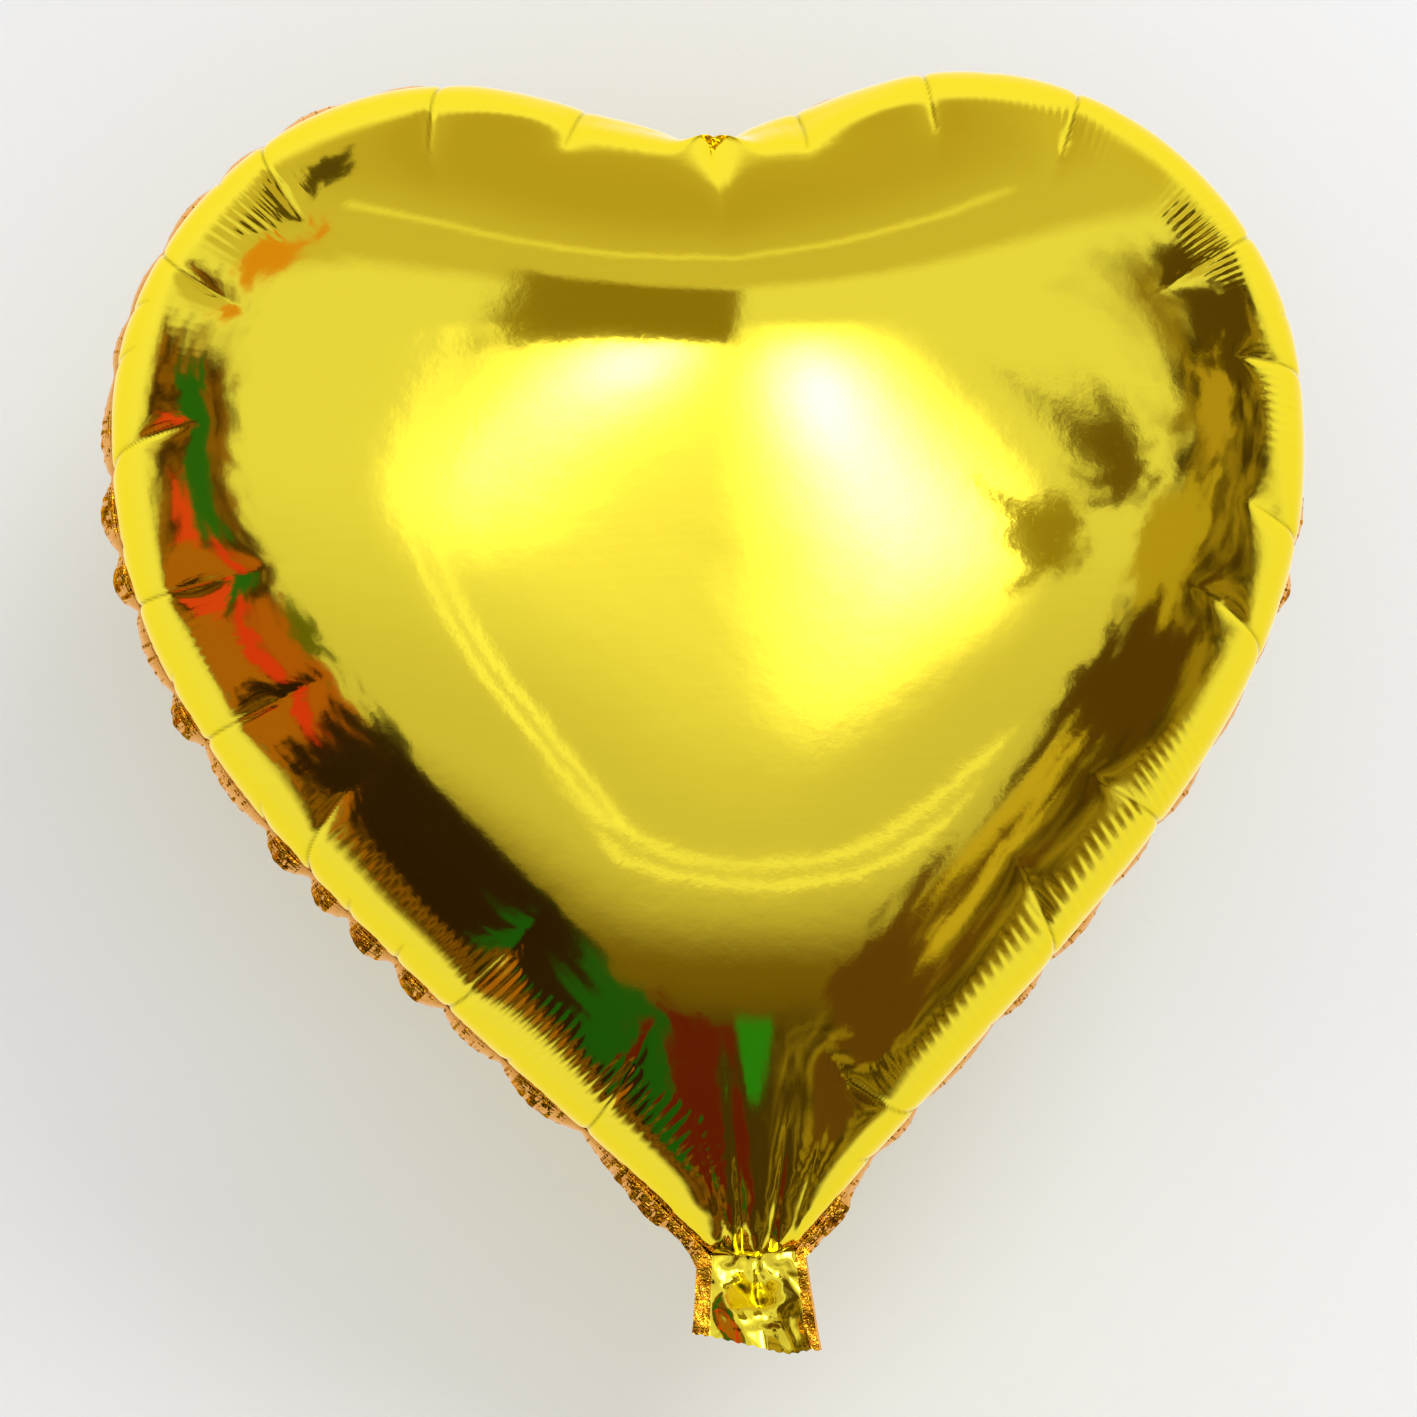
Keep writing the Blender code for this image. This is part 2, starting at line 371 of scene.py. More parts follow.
@lru_cache(maxsize=1)
def inflated_skin():
    """Right half of the inflated front panel on the coarse net, and the flat pattern it was cut from."""
    target = coarse_target()
    pattern = CENTRE + (target - CENTRE) * PATTERN_SCALE
    skin = Skin(pattern)
    skin.settle(FIRST_STEPS)
    for _ in range(FIT_ROUNDS):
        reached = skin.points[skin.seam][:, (0, 2)]
        pattern = pattern + FIT_GAIN * (target - reached)
        pattern[(0, -1), 0] = 0.0
        skin.measure(pattern)
        skin.settle(STEPS_A_ROUND)
    net = skin.points[skin.index]
    net[:, :, 1] *= HALF_DEPTH / -net[:, :, 1].min()
    return net, pattern


# ---------------------------------------------------------------- smooth surface


def spline_weights(places, last):
    """First control point and the four weights of a uniform cubic B-spline."""
    first = np.clip(np.floor(places).astype(int), 0, last - 1)
    f = places - first
    middle = 3 * f**3 - 6 * f**2 + 4, -3 * f**3 + 3 * f**2 + 3 * f + 1
    weights = np.stack([(1 - f) ** 3, *middle, f**3], -1) / 6.0
    return first, weights


def ring_distances():
    """Distances of the fine rings from the seam, and how many times the columns are halved from there on."""
    near = [0.0, 0.5, 1.1, 1.8, 2.6, 3.5, 4.6, 5.8, 7.2, 8.8, 10.6]
    spans = ((62.0, 1.9, 0), (92.0, 2.7, 1), (124.0, 4.0, 2), (152.0, 5.0, 3), (174.0, 5.5, 4))
    distances, halvings = list(near), [0] * len(near)
    for end, step, halved in spans:
        while distances[-1] + step <= end + 0.01:
            distances.append(distances[-1] + step)
            halvings.append(halved)
    return np.array(distances) / 1000.0, halvings


def column_places():
    """Places of the fine columns among the coarse ones, from the notch to the middle of the neck."""
    seam = np.linspace(0.0, SEAM_COLUMNS - 1, SEAM_STEPS + 1)
    neck = np.linspace(SEAM_COLUMNS - 1, SEAM_COLUMNS - 1 + NECK_COLUMNS, NECK_STEPS + 1)[1:]
    return np.r_[seam, neck]


def fine_half():
    """Right half of the smooth panel on the fine net: points, flat positions and the flat edge."""
    net, pattern = inflated_skin()
    places = column_places()
    last = len(net) - 1
    flip = np.array((-1.0, 1.0, 1.0))
    padded = np.concatenate([net[1:2] * flip, net, net[-2:-1] * flip])
    first, weights = spline_weights(places, last)
    lines = sum(padded[first + k] * weights[:, k, None, None] for k in range(4))
    before = 2.0 * lines[:, :1] - lines[:, 1:2]
    centre = lines[:, -1:]
    after = 2.0 * centre - lines[:, -2:-1]
    after[..., 1] = lines[:, -2:-1, 1]
    lines = np.concatenate([before, lines, after], 1)

    padded_flat = np.concatenate([pattern[1:2] * flip[:2], pattern, pattern[-2:-1] * flip[:2]])
    flat_edge = sum(padded_flat[first + k] * weights[:, k, None] for k in range(4))
    distances, _ = ring_distances()
    share = distances / REFERENCE_RADIUS
    radius = np.linalg.norm(flat_edge - CENTRE, axis=1)[:, None]
    fraction = share[None, :] * (REFERENCE_RADIUS / radius) ** (1.0 - share[None, :])
    ring_first, ring_weights = spline_weights(fraction * COARSE_RINGS, COARSE_RINGS)
    rows = np.arange(len(places))[:, None]
    points = sum(lines[rows, ring_first + k] * ring_weights[..., k, None] for k in range(4))
    flat = CENTRE + (flat_edge[:, None, :] - CENTRE) * (1.0 - fraction[..., None])

    drift = exact_edge() - points[:, 0][:, (0, 2)]
    broad = smoothed_ring(drift)
    far = np.exp(-(distances / 0.055) ** 2)[None, :, None]
    near = np.exp(-(distances / 0.014) ** 2)[None, :, None]
    points[..., (0, 2)] += broad[:, None, :] * far + (drift - broad)[:, None, :] * near
    points[:, 0, 1] = 0.0
    first_inner = int(np.argmax(share > CROWN_START + CROWN_BLEND))
    ratio = ((1.0 - share[first_inner:]) / (1.0 - share[first_inner]))[None, :, None]
    rim = points[:, first_inner][:, None, (0, 2)]
    points[:, first_inner:, 0::2] = CENTRE + (rim - CENTRE) * ratio
    crown = smooth_step((share - CROWN_START) / CROWN_BLEND)[None, :]
    depth = crown_surface(net)(points[..., 0], points[..., 2])
    points[..., 1] = points[..., 1] * (1.0 - crown) + depth * crown
    return points, flat, flat_edge


def crown_surface(net):
    """Depth of the taut middle of the panel as one smooth polynomial in x and z, even in x."""
    share = np.linspace(0.0, 1.0, COARSE_RINGS + 1)
    inner = net[:, (share > CROWN_START) & (share < 1.0)].reshape(-1, 3)
    powers = [(i, j) for i in range(0, CROWN_DEGREE + 1, 2) for j in range(CROWN_DEGREE + 1 - i)]

    def terms(x, z):
        u, v = x / 0.15, (z - CENTRE[1]) / 0.15
        return np.stack([u**i * v**j for i, j in powers], -1)

    ratio = np.linalg.lstsq(terms(inner[:, 0], inner[:, 2]), inner[:, 1], rcond=None)[0]
    return lambda x, z: terms(x, z) @ ratio


def smoothed_ring(drift):
    """Slow part of the gap between the spline and the true edge, even across the heart's middle line."""
    mirrored = drift * np.array((-1.0, 1.0))
    ring = np.concatenate([mirrored[:0:-1], drift, mirrored[-2::-1]])
    reach = 60
    window = np.hanning(2 * reach + 1)
    window /= window.sum()
    slow = np.stack([np.convolve(np.pad(ring[:, k], reach, "edge"), window, "valid") for k in (0, 1)], 1)
    start = len(drift) - 1
    return slow[start:start + len(drift)]


def exact_edge():
    """Seam and neck edge in (x, z) at every fine column."""
    seam = resampled(seam_line(cut_edge()), SEAM_STEPS + 1)
    neck = np.linspace(seam[-1], (0.0, 0.0), NECK_STEPS + 1)[1:]
    return np.vstack([seam, neck])


def seam_coordinates(flat, flat_edge):
    """Arc along the flat seam from the notch, and distance from it, for every point of the fine half."""
    seam = flat_edge[:SEAM_STEPS + 1]
    arc = np.r_[0.0, np.cumsum(np.linalg.norm(np.diff(seam, axis=0), axis=1))]
    along = np.gradient(seam, axis=0)
    along /= np.linalg.norm(along, axis=1)[:, None]
    tree = KDTree(len(seam))
    for k, point in enumerate(seam):
        tree.insert((point[0], point[1], 0.0), k)
    tree.balance()
    spots = flat.reshape(-1, 2)
    nearest = np.array([tree.find((x, z, 0.0))[1] for x, z in spots])
    offset = spots - seam[nearest]
    place = arc[nearest] + (offset * along[nearest]).sum(1)
    inward = np.linalg.norm(offset, axis=1)
    shape = flat.shape[:2]
    return np.clip(place, 0.0, arc[-1]).reshape(shape), inward.reshape(shape), arc[-1]


def whole_ring(half, flip_x=False, negate=False):
    """Both halves of a column-by-ring array as one closed ring of columns, notch first and clockwise."""
    left = half[-2:0:-1].copy()
    if flip_x:
        left[..., 0] *= -1.0
    if negate:
        left *= -1.0
    return np.concatenate([half, left])


@lru_cache(maxsize=1)
def smooth_panel():
    """The whole smooth front panel, with seam coordinates, normals and the seam's own normals."""
    half, flat, flat_edge = fine_half()
    place, inward, length = seam_coordinates(flat, flat_edge)
    points = whole_ring(half, flip_x=True)
    place = whole_ring(place, negate=True)
    inward = whole_ring(inward)
    across = (np.roll(points, -1, 0) - np.roll(points, 1, 0))
    down = np.gradient(points, axis=1)
    normals = np.cross(down, across)
    normals /= np.maximum(np.linalg.norm(normals, axis=2), 1e-12)[..., None]
    if normals[:, -3, 1].mean() > 0.0:
        normals = -normals
    edge = exact_edge()
    side = outward_normals(edge[:SEAM_STEPS + 1])
    side[0] = (0.0, 1.0)
    side = np.vstack([side, np.tile(side[-1], (NECK_STEPS, 1))])
    side3 = np.stack([side[:, 0], np.zeros(len(side)), side[:, 1]], 1)
    return points, place, inward, length, normals, whole_ring(side3, flip_x=True)


# ---------------------------------------------------------------- puckers


class Creases:
    """Cusps of the seam and the creases that run in from them, the same for both foils."""

    def __init__(self, length, seed):
        random = np.random.default_rng(seed)
        self.places, self.long = [], []
        for hand in (1.0, -1.0):
            place, since_long = 0.0, 0.0
            while True:
                step = random.uniform(0.019, 0.040)
                place += step
                since_long += step
                if place > length - 0.030:
                    break
                is_long = since_long > 0.046
                if is_long:
                    since_long = 0.0
                self.places.append(hand * place)
                self.long.append(is_long)
        self.places.append(0.0)
        self.long.append(True)
        order = np.argsort(self.places)
        self.places = np.array(self.places)[order]
        self.long = np.array(self.long)[order]
        count = len(self.places)
        self.depth = random.uniform(0.7, 1.25, count) * np.where(self.long, 1.15, 0.8)
        self.lean = random.uniform(-0.22, 0.22, count)
        far, near = random.uniform(0.062, 0.080, count), random.uniform(0.012, 0.034, count)
        self.reach = np.where(self.long, far, near)
        deep, shallow = random.uniform(0.0011, 0.0016, count), random.uniform(0.0006, 0.0011, count)
        self.line = np.where(self.long, deep, shallow)
        self.pinch = random.uniform(0.6, 1.2, count) * self.long
        self.tilt = random.uniform(-1.0, 1.0, count + 1)
        self.length = length

    def between(self, place):
        """Index of the cusp before each place, and how far each is from it to the next, from 0 to 1."""
        ends = np.r_[-self.length, self.places, self.length]
        index = np.clip(np.searchsorted(ends, place, side="right") - 1, 0, len(ends) - 2)
        return index, (place - ends[index]) / (ends[index + 1] - ends[index])

    def scallop(self, place):
        """0 midway between cusps and about 1 at a cusp, with a sharp point there."""
        depth = np.r_[0.3, self.depth, 0.3]
        index, f = self.between(place)
        here = depth[index] * (1.0 - f) + depth[index + 1] * f
        return here * (1.0 - np.sin(pi * np.clip(f, 0.0, 1.0)) ** 0.8)

    def grooves(self, place, inward, pinch):
        """Depth of the kinks across the rim, with the pinches where the long ones end, and the painted shade
        along them.
        """
        total, shade = np.zeros_like(place), np.zeros_like(place)
        for k in range(len(self.places)):
            away = place - self.places[k] - self.lean[k] * inward
            near = np.abs(away) < 0.05
            if not near.any():
                continue
            off, deep = away[near], inward[near]
            fade = np.clip(1.0 - deep / self.reach[k], 0.0, 1.0)
            kink = self.line[k] * np.sqrt(fade) * np.exp(-np.sqrt(off**2 + 1.0e-7) / 0.0011)
            if self.long[k]:
                bell = np.exp(-((deep - 0.75 * self.reach[k]) / 0.016) ** 2)
                kink += pinch * self.pinch[k] * bell * np.exp(-np.sqrt(off**2 + 2.5e-6) / 0.0075)
            total[near] += kink
            # Painted shade: a thin dark line down the middle of each crease, fading with the crease inwards.
            shade[near] += np.sqrt(fade) * np.exp(-(off / 0.00055) ** 2)
        return total, np.clip(shade, 0.0, 1.0)


class Ripples:
    """Fine gathers across the shoulder of the skin, each stretch with its own pitch and height."""

    def __init__(self, length, seed):
        random = np.random.default_rng(seed)
        self.grid = np.linspace(-length, length, 2400)
        self.pitch = self.noise(random, 0.045) * 0.0009 + 0.0039
        step = self.grid[1] - self.grid[0]
        self.phase = np.cumsum(step / self.pitch) * 2.0 * pi
        self.height = np.clip(0.45 + 1.25 * self.noise(random, 0.040), 0.04, 1.35)
        self.height *= 1.0 - 0.75 * np.exp(-(self.grid / 0.16) ** 4)
        self.outer = 0.036 + 0.005 * self.noise(random, 0.010)
        self.inner = 0.064 + 0.008 * self.noise(random, 0.014)

    def noise(self, random, scale):
        """Smooth random line along the seam, about -1 to 1."""
        knots = np.arange(self.grid[0] - scale, self.grid[-1] + 2 * scale, scale)
        values = random.uniform(-1.0, 1.0, len(knots))
        spot = (self.grid - knots[0]) / scale
        k = np.floor(spot).astype(int)
        f = smooth_step(spot - k)
        return values[k] * (1.0 - f) + values[k + 1] * f

    def height_at(self, place, inward, creases):
        here = lambda values: np.interp(place, self.grid, values)
        nearest = np.abs(place[..., None] - creases.places[creases.long]).min(-1)
        outer = here(self.outer) - 0.008 * np.exp(-nearest / 0.006)
        rise = smooth_step((inward - outer + 0.004) / 0.010)
        fall = smooth_step((here(self.inner) - inward) / 0.012)
        phase = here(self.phase) + 40.0 * inward
        wave = np.sin(phase) + 0.3 * np.sin(2.0 * phase + 0.7)
        return wave * here(self.height) * rise * fall


class Crumple:
    """Facets of crushed foil: triangle waves laid over each other in random directions."""

    def __init__(self, seed, size, count=7):
        random = np.random.default_rng(seed)
        turn = random.uniform(0.0, pi, count)
        lengths = size * random.uniform(0.6, 1.7, count)
        self.way = np.stack([np.cos(turn), np.sin(turn)], 1) / lengths[:, None]
        self.shift = random.uniform(0.0, 1.0, count)
        self.weight = random.uniform(0.5, 1.0, count) / count * 2.0

    def at(self, x, z):
        total = np.zeros_like(x)
        for (a, b), shift, weight in zip(self.way, self.shift, self.weight):
            wave = (a * x + b * z + shift) % 1.0
            total += weight * (np.abs(wave - 0.5) * 4.0 - 1.0)
        return total


NECK_FOLDS = (
    # place across the neck, depth, width
    (0.0035, 0.0026, 0.0011),
    (-0.0036, 0.0028, 0.0012),
    (0.0088, 0.0012, 0.0009),
    (-0.0081, 0.0014, 0.0010),
    (0.0002, 0.0004, 0.0008),
)


def neck_pleats(x, z):
    """Inward depth of the two deep folds and the small ones between which the foil gathers at the neck."""
    spread = 1.0 + np.clip(z, 0.0, None) / 0.035
    deep = np.zeros_like(x)
    for middle, depth, width in NECK_FOLDS:
        deep += depth * np.exp(-np.abs(x - middle * spread) / (width * spread))
    return deep * np.exp(-(np.clip(z, 0.0, None) / 0.030) ** 1.5)


# ---------------------------------------------------------------- foils


class Foil:
    """One cut foil: its half of the heart, its share of the seal, and its ply of the tail."""

    def __init__(self, side, seed, seam):
        self.side = side
        self.points, self.place, self.inward, self.length, self.normals, self.outward = smooth_panel()
        self.creases = Creases(self.length, seed=CREASE_SEED)
        self.ripples = Ripples(self.length, seed)
        self.crumple = Crumple(seed + 3, 0.009)
        self.seam = seam
        self.vertices = []
        self.shades = []
        self.faces = []
        self.sealed = []

    def panel(self):
        """Puckered panel points on the fine net, with the foil's own side of the heart as +depth."""
        place, inward = self.place, self.inward
        distances, _ = ring_distances()
        near = smooth_step(distances / 0.008)[None, :, None]
        way = self.outward[:, None, :] * (1.0 - near) + self.normals * near
        way /= np.linalg.norm(way, axis=2)[..., None]
        drawn = self.seam.scallop * self.creases.scallop(place) * np.exp(-inward / PUCKER_REACH)
        # self.shade keeps the painted shade of the crease lines for the foil's colour.
        grooves, self.shade = self.creases.grooves(place, inward, self.seam.pinch)
        drawn += grooves
        from_notch = np.hypot(self.points[..., 0], self.points[..., 2] - self.points[0, 0, 2])
        beside = np.abs(self.points[..., 0]) / NOTCH_PULL_WIDTH
        drawn += NOTCH_PULL * np.exp(-beside - (from_notch / NOTCH_PULL_REACH) ** 2)
        to_middle = smooth_step(np.abs(self.points[..., 0]) / 0.016)
        raised = self.seam.ripple * self.ripples.height_at(place, inward, self.creases) * to_middle
        neck_columns = self.neck_columns()
        calm = np.ones(len(place))
        calm[neck_columns] = 0.0
        drawn *= calm[:, None]
        moved = self.points + way * (raised - drawn)[..., None]
        x, z = self.points[..., 0], self.points[..., 2]
        near_neck = np.exp(-(np.clip(z, 0.0, None) / NECK_CRUSH_REACH) ** 2)
        gather = neck_pleats(x, z) * smooth_step(-self.points[..., 1] / 0.004 + 0.15)
        crush = NECK_CRUSH * self.crumple.at(x, z) * near_neck * smooth_step(distances / 0.006)[None, :]
        moved[..., 1] += gather + crush
        open_neck = NECK_OPENING * np.exp(-np.clip(z, 0.0, None) / 0.004) * self.neck_dome(x)
        moved[..., 1] -= open_neck
        return moved

    def neck_dome(self, x):
        """1 in the middle of the gathered neck, falling to 0 at its seals, with the pleats in it."""
        reach = NECK_HALF - TAIL_SEAL_WIDTH
        dome = np.sqrt(np.clip(1.0 - (x / reach) ** 2, 0.0, 1.0))
        return dome * (0.75 + 0.5 * np.cos(x * 2.0 * pi / 0.0068) * np.exp(-(x / 0.009) ** 2))

    def neck_columns(self):
        return np.arange(SEAM_STEPS + 1, SEAM_STEPS + 2 * NECK_STEPS)

    def flip(self, points):
        """Points in the frame, set off from the seam's plane by the foil's own ply."""
        made = points.copy()
        made[..., 1] = self.side * (-made[..., 1] + PLY_Y)
        return made

    def add(self, points, shade=0.0):
        start = sum(len(v) for v in self.vertices)
        self.vertices.append(points.reshape(-1, 3))
        self.shades.append(np.broadcast_to(shade, points.shape[:-1]).ravel())
        return start + np.arange(points.reshape(-1, 3).shape[0]).reshape(points.shape[:-1])

    def quads(self, grid, sealed=False):
        """Faces of a grid of vertex numbers."""
        cells = np.stack([grid[:-1, :-1], grid[1:, :-1], grid[1:, 1:], grid[:-1, 1:]], -1).reshape(-1, 4)
        self.faces += cells.tolist()
        self.sealed += [sealed] * len(cells)

    def build(self):
        shape = self.flip(self.panel())
        _, halvings = ring_distances()
        rings = [self.add(shape[::2**halved, ring], self.shade[::2**halved, ring])
                 for ring, halved in enumerate(halvings)]
        for outer, inner in zip(rings, rings[1:]):
            closed_outer, closed_inner = np.r_[outer, outer[:1]], np.r_[inner, inner[:1]]
            if len(outer) == len(inner):
                self.quads(np.stack([closed_outer, closed_inner], 1))
                continue
            a, b, c = closed_outer[:-2:2], closed_outer[1::2], closed_outer[2::2]
            d, e = closed_inner[:-1], closed_inner[1:]
            fans = np.concatenate([np.stack(t, 1) for t in ((a, b, d), (b, c, e), (b, e, d))])
            self.faces += fans.tolist()
            self.sealed += [False] * len(fans)
        middle = shape[:, -1].mean(0)
        crown = np.array((0.0, middle[1], middle[2]))
        top = self.add(crown[None])[0]
        last = np.r_[rings[-1], rings[-1][:1]]
        self.faces += np.stack([last[:-1], last[1:], np.full(len(last) - 1, top)], 1).tolist()
        self.sealed += [False] * (len(last) - 1)

        seam = seam_columns()
        strip = seal_strip(self.creases, self.seam, -self.side * PLY_Y)[:, 1:]
        outside = self.add(strip)
        self.quads(np.concatenate([rings[0][seam][:, None], outside], 1), sealed=True)

        across = np.arange(SEAM_STEPS, SEAM_STEPS + 2 * NECK_STEPS + 1)
        neck = rings[0][across]
        top_row = np.r_[outside[-1][::-1], neck, outside[0]]
        rows = self.add(self.tail(np.concatenate(self.vertices)[top_row]))
        grid = np.concatenate([top_row[None], rows])
        self.quads(grid[:, :MARGIN_STEPS + 1], sealed=True)
        self.quads(grid[:, MARGIN_STEPS:-MARGIN_STEPS])
        self.quads(grid[:, -MARGIN_STEPS - 1:], sealed=True)
        return np.concatenate(self.vertices)

    def tail(self, top):
        """Rows of the tail's ply below the neck, from the right edge to the left one."""
        down = np.linspace(0.0, 1.0, TAIL_ROWS + 1)[1:, None]
        spread = top[None, :, 0] / NECK_HALF
        z_end = tail_end(spread * TAIL_END_HALF)
        z = z_end * down
        half = NECK_HALF + (TAIL_END_HALF - NECK_HALF) * (-z / TAIL_LENGTH) ** 1.25
        x = spread * half
        free = 1.0 - TAIL_SEAL_WIDTH / half
        across = np.clip(np.abs(spread) / free, 0.0, 1.0)
        run = smooth_step((-z - 0.004) / 0.015)
        mouth = cos_dome(across) * run
        depth = 0.0094 * mouth if self.side < 0 else 0.0002 * mouth
        fade = np.exp(z / 0.005)
        start = np.abs(top[None, :, 1]) - PLY_Y
        inside = smooth_step((1.0 - across) * 4.0)
        crush = self.crumple.at(x, z) * (1.0 - 0.92 * mouth) * smooth_step(-z / 0.003)
        rough = (0.0009 if self.side < 0 else 0.0004) * crush * inside
        both = shared_crush(x, z)
        toward = np.maximum(depth + start * fade + rough, 0.0)
        y = self.side * (toward + PLY_Y) + both
        return np.stack([x, y, z], -1)


def cos_dome(across):
    return np.cos(pi / 2 * across) ** 1.2


def tail_end(x):
    """Height of the tail's cut end, slanted and a little ragged."""
    slant = -0.0262 - 0.0034 * x / TAIL_END_HALF
    return slant - 0.0014 * np.exp(-((x - 0.008) / 0.006) ** 2) + 0.0003 * np.sin(x * 2100.0)


def shared_crush(x, z):
    """Bends that both plies of the tail share, so that they lie together at its seals."""
    return 0.0011 * Crumple(29, 0.013, 5).at(x, z) * smooth_step(-z / 0.010)


def seam_columns():
    """Fine columns of the seam, from the left neck corner over the notch to the right one."""
    start = SEAM_STEPS + 2 * NECK_STEPS
    return np.r_[np.arange(start, 2 * (SEAM_STEPS + NECK_STEPS)), np.arange(0, SEAM_STEPS + 1)]


def seal_strip(creases, seam, ply=0.0):
    """Points of the seal from the seam to the cut edge, columns in the order of seam_columns.

    ply sets them off from the middle of the seal: + towards the front, and - towards the rear.
    """
    panel, place, _, length, _, outward = smooth_panel()
    columns = seam_columns()
    place, way = place[columns, 0], outward[columns]
    root = panel[columns, 0]
    cut = resampled(cut_edge(), SEAM_STEPS + 1)
    cut = np.concatenate([cut[:0:-1] * np.array((-1.0, 1.0)), cut])
    reach = np.linalg.norm(cut - root[:, (0, 2)], axis=1)
    index, f = creases.between(place)
    lens = np.sin(pi * np.clip(f, 0.0, 1.0)) ** 0.7
    middle_fold = fold_angle(way[:, 2])
    width = np.minimum(reach / np.cos(middle_fold), SEAL_WIDTH)
    to_neck = length - np.abs(place)
    near_neck = smooth_step(1.0 - to_neck / 0.050)
    fold = middle_fold + FOLD_SPREAD * creases.tilt[index] * lens
    fold = fold + RIGHT_FOLD * (place > 0.0)
    fold = fold * (1.0 - 0.75 * near_neck)
    fold = fold * lens + CUSP_FOLD * (1.0 - lens) * (1.0 - 0.6 * near_neck)
    corner = smooth_step(to_neck / 0.004)
    fold = fold * corner
    share = np.linspace(0.0, 1.0, MARGIN_STEPS + 1)[None, :]
    bend = fold[:, None] * (0.55 + 0.45 * share)
    run = width[:, None] * share * (1.0 + 0.30 * near_neck * np.sin(place * 190.0))[:, None]
    back = np.array((0.0, 1.0, 0.0))
    outwards = way[:, None, :] * np.cos(bend)[..., None] + back * np.sin(bend)[..., None]
    facing = way[:, None, :] * np.sin(bend)[..., None] - back * np.cos(bend)[..., None]
    facing = facing * share[..., None] - back * (1.0 - share[..., None])
    points = root[:, None, :] + outwards * run[..., None]
    points -= way[:, None, :] * (seam.scallop * creases.scallop(place) * corner)[:, None, None]
    crinkle = Crumple(41, 0.0035).at(points[..., 0], points[..., 2]) * 0.0004
    flap = near_neck[:, None] * Crumple(43, 0.009).at(points[..., 0], points[..., 2]) * 0.0022
    points += facing * ((crinkle + flap) * share * corner[:, None])[..., None]
    return points + facing * ply


# ---------------------------------------------------------------- mesh helpers


def mesh_object(name, vertices, faces, materials, smooth=True):
    mesh = bpy.data.meshes.new(name)
    mesh.from_pydata(np.asarray(vertices).tolist(), [], faces)
    for material in materials:
        mesh.materials.append(material)
    if smooth:
        mesh.shade_smooth()
    made = bpy.data.objects.new(name, mesh)
    bpy.context.scene.collection.objects.link(made)
    return made


def grid_faces(rows, columns):
    ids = np.arange(rows * columns).reshape(rows, columns)
    return np.stack([ids[:-1, :-1], ids[1:, :-1], ids[1:, 1:], ids[:-1, 1:]], -1).reshape(-1, 4).tolist()


def thicken(made, thickness):
    """Closed film of this thickness round the mesh, applied."""
    solidify = made.modifiers.new("Film", "SOLIDIFY")
    solidify.thickness = thickness
    solidify.offset = 0.0
    bpy.context.view_layer.update()
    solid = bpy.data.meshes.new_from_object(made.evaluated_get(bpy.context.evaluated_depsgraph_get()))
    made.modifiers.clear()
    made.data = solid


# ---------------------------------------------------------------- materials


class Tree:
    """Short way to wire a node tree."""

    def __init__(self, tree):
        self.tree = tree

    def node(self, kind, **settings):
        made = self.tree.nodes.new(kind)
        for key, value in settings.items():
            setattr(made, key, value)
        return made

    def put(self, socket, value):
        """Links a socket or sets a plain value."""
        if isinstance(value, bpy.types.NodeSocket):
            self.tree.links.new(value, socket)
        else:
            socket.default_value = value

    def maths(self, operation, *values, clamp=False):
        made = self.node("ShaderNodeMath", operation=operation, use_clamp=clamp)
        for socket, value in zip(made.inputs, values):
            self.put(socket, value)
        return made.outputs[0]

    def mix(self, factor, a, b, blend="MIX"):
        made = self.node("ShaderNodeMix", data_type="RGBA", blend_type=blend)
        self.put(made.inputs[0], factor)
        self.put(made.inputs[6], a)
        self.put(made.inputs[7], b)
        return made.outputs[2]

    def soft_step(self, value, low, high):
        made = self.node("ShaderNodeMapRange", interpolation_type="SMOOTHSTEP", clamp=True)
        for key, number in (("Value", value), ("From Min", low), ("From Max", high)):
            self.put(made.inputs[key], number)
        return made.outputs[0]

    def noise(self, vector, scale, detail=2.0, roughness=0.5, stretch=None):
        if stretch is not None:
            mapping = self.node("ShaderNodeMapping")
            self.put(mapping.inputs["Vector"], vector)
            mapping.inputs["Scale"].default_value = stretch
            vector = mapping.outputs[0]
        made = self.node("ShaderNodeTexNoise")
        self.put(made.inputs["Vector"], vector)
        made.inputs["Scale"].default_value = scale
        made.inputs["Detail"].default_value = detail
        made.inputs["Roughness"].default_value = roughness
        return made.outputs["Fac"]


def group(name, inputs, outputs, fill):
    """Shader node group with these sockets; fill(tree, inputs, outputs) wires it. It is made once."""
    if name in bpy.data.node_groups:
        return bpy.data.node_groups[name]
    made = bpy.data.node_groups.new(name, "ShaderNodeTree")
    for label, kind, default in inputs:
        socket = made.interface.new_socket(label, in_out="INPUT", socket_type=kind)
        socket.default_value = default
    for label, kind in outputs:
        made.interface.new_socket(label, in_out="OUTPUT", socket_type=kind)
    tree = Tree(made)
    source = tree.node("NodeGroupInput")
    sink = tree.node("NodeGroupOutput")
    fill(tree, source.outputs, sink.inputs)
    return made


